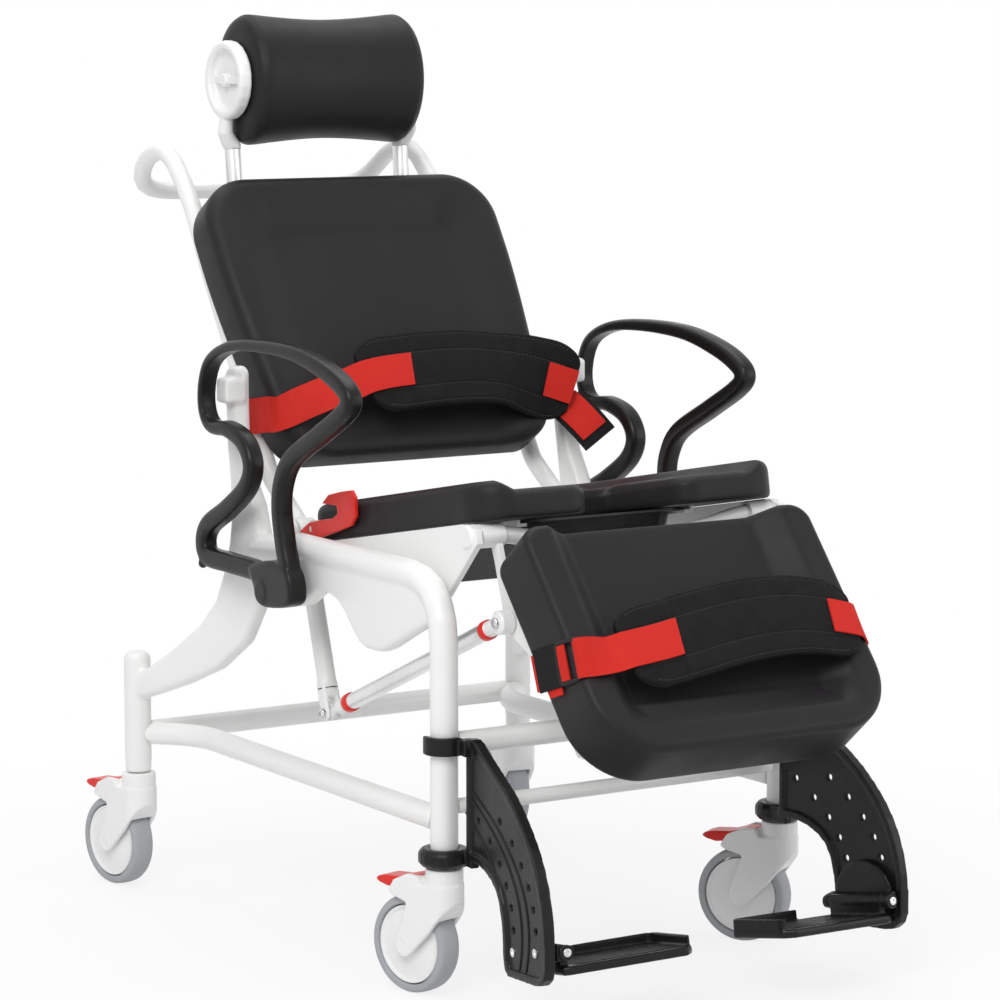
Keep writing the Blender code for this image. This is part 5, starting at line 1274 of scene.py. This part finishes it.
def arm_ribs(label, sign, outward):
    """Raised ribs on the outer face of the footrest arm, between and beside its rows of holes."""
    bm = bmesh.new()
    for share, first, last in FOOT_RIBS:
        path = []
        for k in range(25):
            t = first + (last - first) * k / 24
            reach, height = row_place(FOOT_ROWS[0], t).lerp(row_place(FOOT_ROWS[1], t), share)
            path.append(beside_leg(sign, reach, FOOT_WEB_OFFSET, height))
        swept(bm, path, FOOT_RIB_SECTION, outward)
    new_piece("foot_arm_ribs_" + label, bm, "black_plastic", "foot_" + label)


def tread(label, sign, local):
    """Ribs across the top of the footplate, each falling away at its ends."""
    bm = bmesh.new()
    (near, near_full), (far_full, far) = TREAD_ENDS
    ends = ((near, TREAD_END_RISE), (near_full, TREAD_RISE), (far_full, TREAD_RISE), (far, TREAD_END_RISE))
    for k in range(TREAD_COUNT):
        along = TREAD_START + TREAD_PITCH * k
        rings = []
        for across, rise in ends:
            section = ((-0.0022, -0.0004), (0.0022, -0.0004), (0.0014, rise), (-0.0014, rise))
            rings.append([local @ Vector((-sign * across, along + d, FOOTPLATE_TOP + h)) for d, h in section])
        skin_rings(bm, rings)
    new_piece("footplate_ribs_" + label, bm, "black_plastic", "plate_" + label)


def footrest_details(label, sign):
    """Screws and ribs of the footrest arm, the cap and screw of its hinge, and the footplate's tread."""
    body = "foot_" + label
    outward = Vector((sign * math.cos(FOOT_TOE_OUT), math.sin(FOOT_TOE_OUT), 0))
    for number, row in enumerate(FOOT_ROWS):
        place = beside_leg(sign, row[2][0], FOOT_WEB_OFFSET, row[2][1])
        socket_screw("foot_screw_%d_%s" % (number, label), facing(place, outward), *FOOT_SCREW, body)
    arm_ribs(label, sign, outward)
    hinge = beside_leg(sign, FOOT_HINGE_REACH, FOOT_HINGE_OFFSET, FOOT_HINGE_HEIGHT)
    turn = Matrix.Rotation(sign * FOOT_TOE_OUT, 4, "Z") @ Matrix.Rotation(-FOOT_PITCH, 4, "X")
    forward = turn.to_3x3() @ Vector((0, -1, 0))
    bm = bmesh.new()
    turned(bm, FOOT_HINGE_CAP, facing(hinge, forward), 32)
    new_piece("foot_hinge_cap_" + label, bm, "black_plastic", body)
    screw_face = facing(hinge + forward * FOOT_HINGE_FACE, forward)
    socket_screw("foot_hinge_screw_" + label, screw_face, *FOOT_HINGE_SCREW, body)
    lean = Matrix.Rotation(sign * FOOTPLATE_RISE, 4, "Y")
    tread(label, sign, Matrix.Translation(hinge) @ turn @ lean)


for_each_side(footrest_details)


def low_clip():
    """The left seat clip with a flatter tip, which keeps below the seat's rim."""
    node = NODES["seat_clip_left"]
    bm = bmesh.new()
    bm.from_mesh(node.data)
    bm.transform(node.matrix_world)
    bmesh.ops.remove_doubles(bm, verts=bm.verts, dist=WELD_DISTANCE)
    for vertex in bm.verts:
        above = (vertex.co - SEAT.origin).dot(SEAT.front) - CLIP_LEVEL
        if above > 0:
            vertex.co -= SEAT.front * above * CLIP_FLATTEN
    piece = new_piece("seat_clip_skin_left", bm, "red_plastic", "clip_left")
    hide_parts("seat_clip_left")


low_clip()


# Camera, light and floor

def set_camera():
    data = bpy.data.cameras.new("camera")
    data.sensor_width = 36.0
    data.lens = CAMERA_LENS
    data.shift_y = CAMERA_SHIFT_Y
    data.clip_end = 60.0
    camera = bpy.data.objects.new("camera", data)
    turn = Euler((math.radians(90) - CAMERA_DIP, 0, CAMERA_TURN)).to_matrix().to_4x4()
    camera.matrix_world = Matrix.Translation(CAMERA_PLACE) @ turn
    bpy.context.scene.collection.objects.link(camera)
    bpy.context.scene.camera = camera


# Lamps as name: (place, aim, size, power)
LAMPS = {
    "key": ((-2.6, -2.2, 3.2), (0, -0.05, 0.6), 2.2, 95.0),
    "fill": ((2.8, -3.0, 1.6), (0, 0, 0.6), 2.4, 32.0),
    "top": ((0.2, 0.6, 3.6), (0, 0, 0.5), 2.6, 45.0),
}


def area_light(name, place, aim, size, power):
    data = bpy.data.lights.new(name, "AREA")
    data.shape = "RECTANGLE"
    data.size = size
    data.size_y = size
    data.energy = power
    light = bpy.data.objects.new(name, data)
    light.location = place
    light.rotation_euler = (Vector(aim) - Vector(place)).to_track_quat("-Z", "Y").to_euler()
    bpy.context.scene.collection.objects.link(light)


def seen_plainly(tree):
    """A value that is 1 for rays from the camera, in reflections and through clear things."""
    path = tree.nodes.new("ShaderNodeLightPath").outputs
    glossy = join(tree, "MAXIMUM", path["Is Camera Ray"], path["Is Glossy Ray"])
    return join(tree, "MAXIMUM", glossy, path["Is Transmission Ray"])


def show_mix(tree, share, first, second, end):
    """Send a mix of two shaders to a tree's output node."""
    mix = add_node(tree, "ShaderNodeMixShader", {"Fac": share, 1: first, 2: second})
    feed(tree, tree.nodes[end], {"Surface": mix.outputs["Shader"]})


def set_world():
    """Even, slightly cool light, with a white background where it is seen."""
    world = bpy.data.worlds.new("studio")
    world.use_nodes = True
    tree = world.node_tree
    ambient = tree.nodes["Background"]
    feed(tree, ambient, {"Color": (0.96, 0.98, 1.0, 1), "Strength": 0.42})
    white = add_node(tree, "ShaderNodeBackground", {"Color": (1, 1, 1, 1), "Strength": 1.0})
    show_mix(tree, seen_plainly(tree), ambient.outputs[0], white.outputs[0], "World Output")
    bpy.context.scene.world = world


def floor_material():
    """Pale grey that turns to plain white away from the chair, where it is seen."""
    material = bpy.data.materials.new("studio_floor")
    material.use_nodes = True
    tree = material.node_tree
    shader = tree.nodes["Principled BSDF"]
    feed(tree, shader, {"Base Color": (0.86, 0.86, 0.86, 1), "Roughness": 0.9})
    glow = add_node(tree, "ShaderNodeEmission", {"Color": (1, 1, 1, 1)})
    place = tree.nodes.new("ShaderNodeTexCoord").outputs["Object"]
    distance = add_node(tree, "ShaderNodeVectorMath", {0: place})
    distance.operation = "LENGTH"
    inputs = {"From Min": 0.5, "From Max": 1.3, "To Min": 0.82, "To Max": 1.0}
    fade = add_node(tree, "ShaderNodeMapRange", {"Value": distance.outputs["Value"], **inputs})
    share = join(tree, "MULTIPLY", seen_plainly(tree), fade.outputs["Result"])
    show_mix(tree, share, shader.outputs["BSDF"], glow.outputs["Emission"], "Material Output")
    return material


def set_floor():
    """A pale studio floor that keeps a soft shadow."""
    bm = bmesh.new()
    bmesh.ops.create_grid(bm, x_segments=2, y_segments=2, size=9.0)
    mesh = bpy.data.meshes.new("floor")
    bm.to_mesh(mesh)
    bm.free()
    mesh.materials.append(floor_material())
    floor = bpy.data.objects.new("floor", mesh)
    bpy.context.scene.collection.objects.link(floor)


set_camera()
for lamp_name, lamp in LAMPS.items():
    area_light(lamp_name, *lamp)
set_world()
set_floor()
bpy.context.scene.view_settings.view_transform = "Standard"
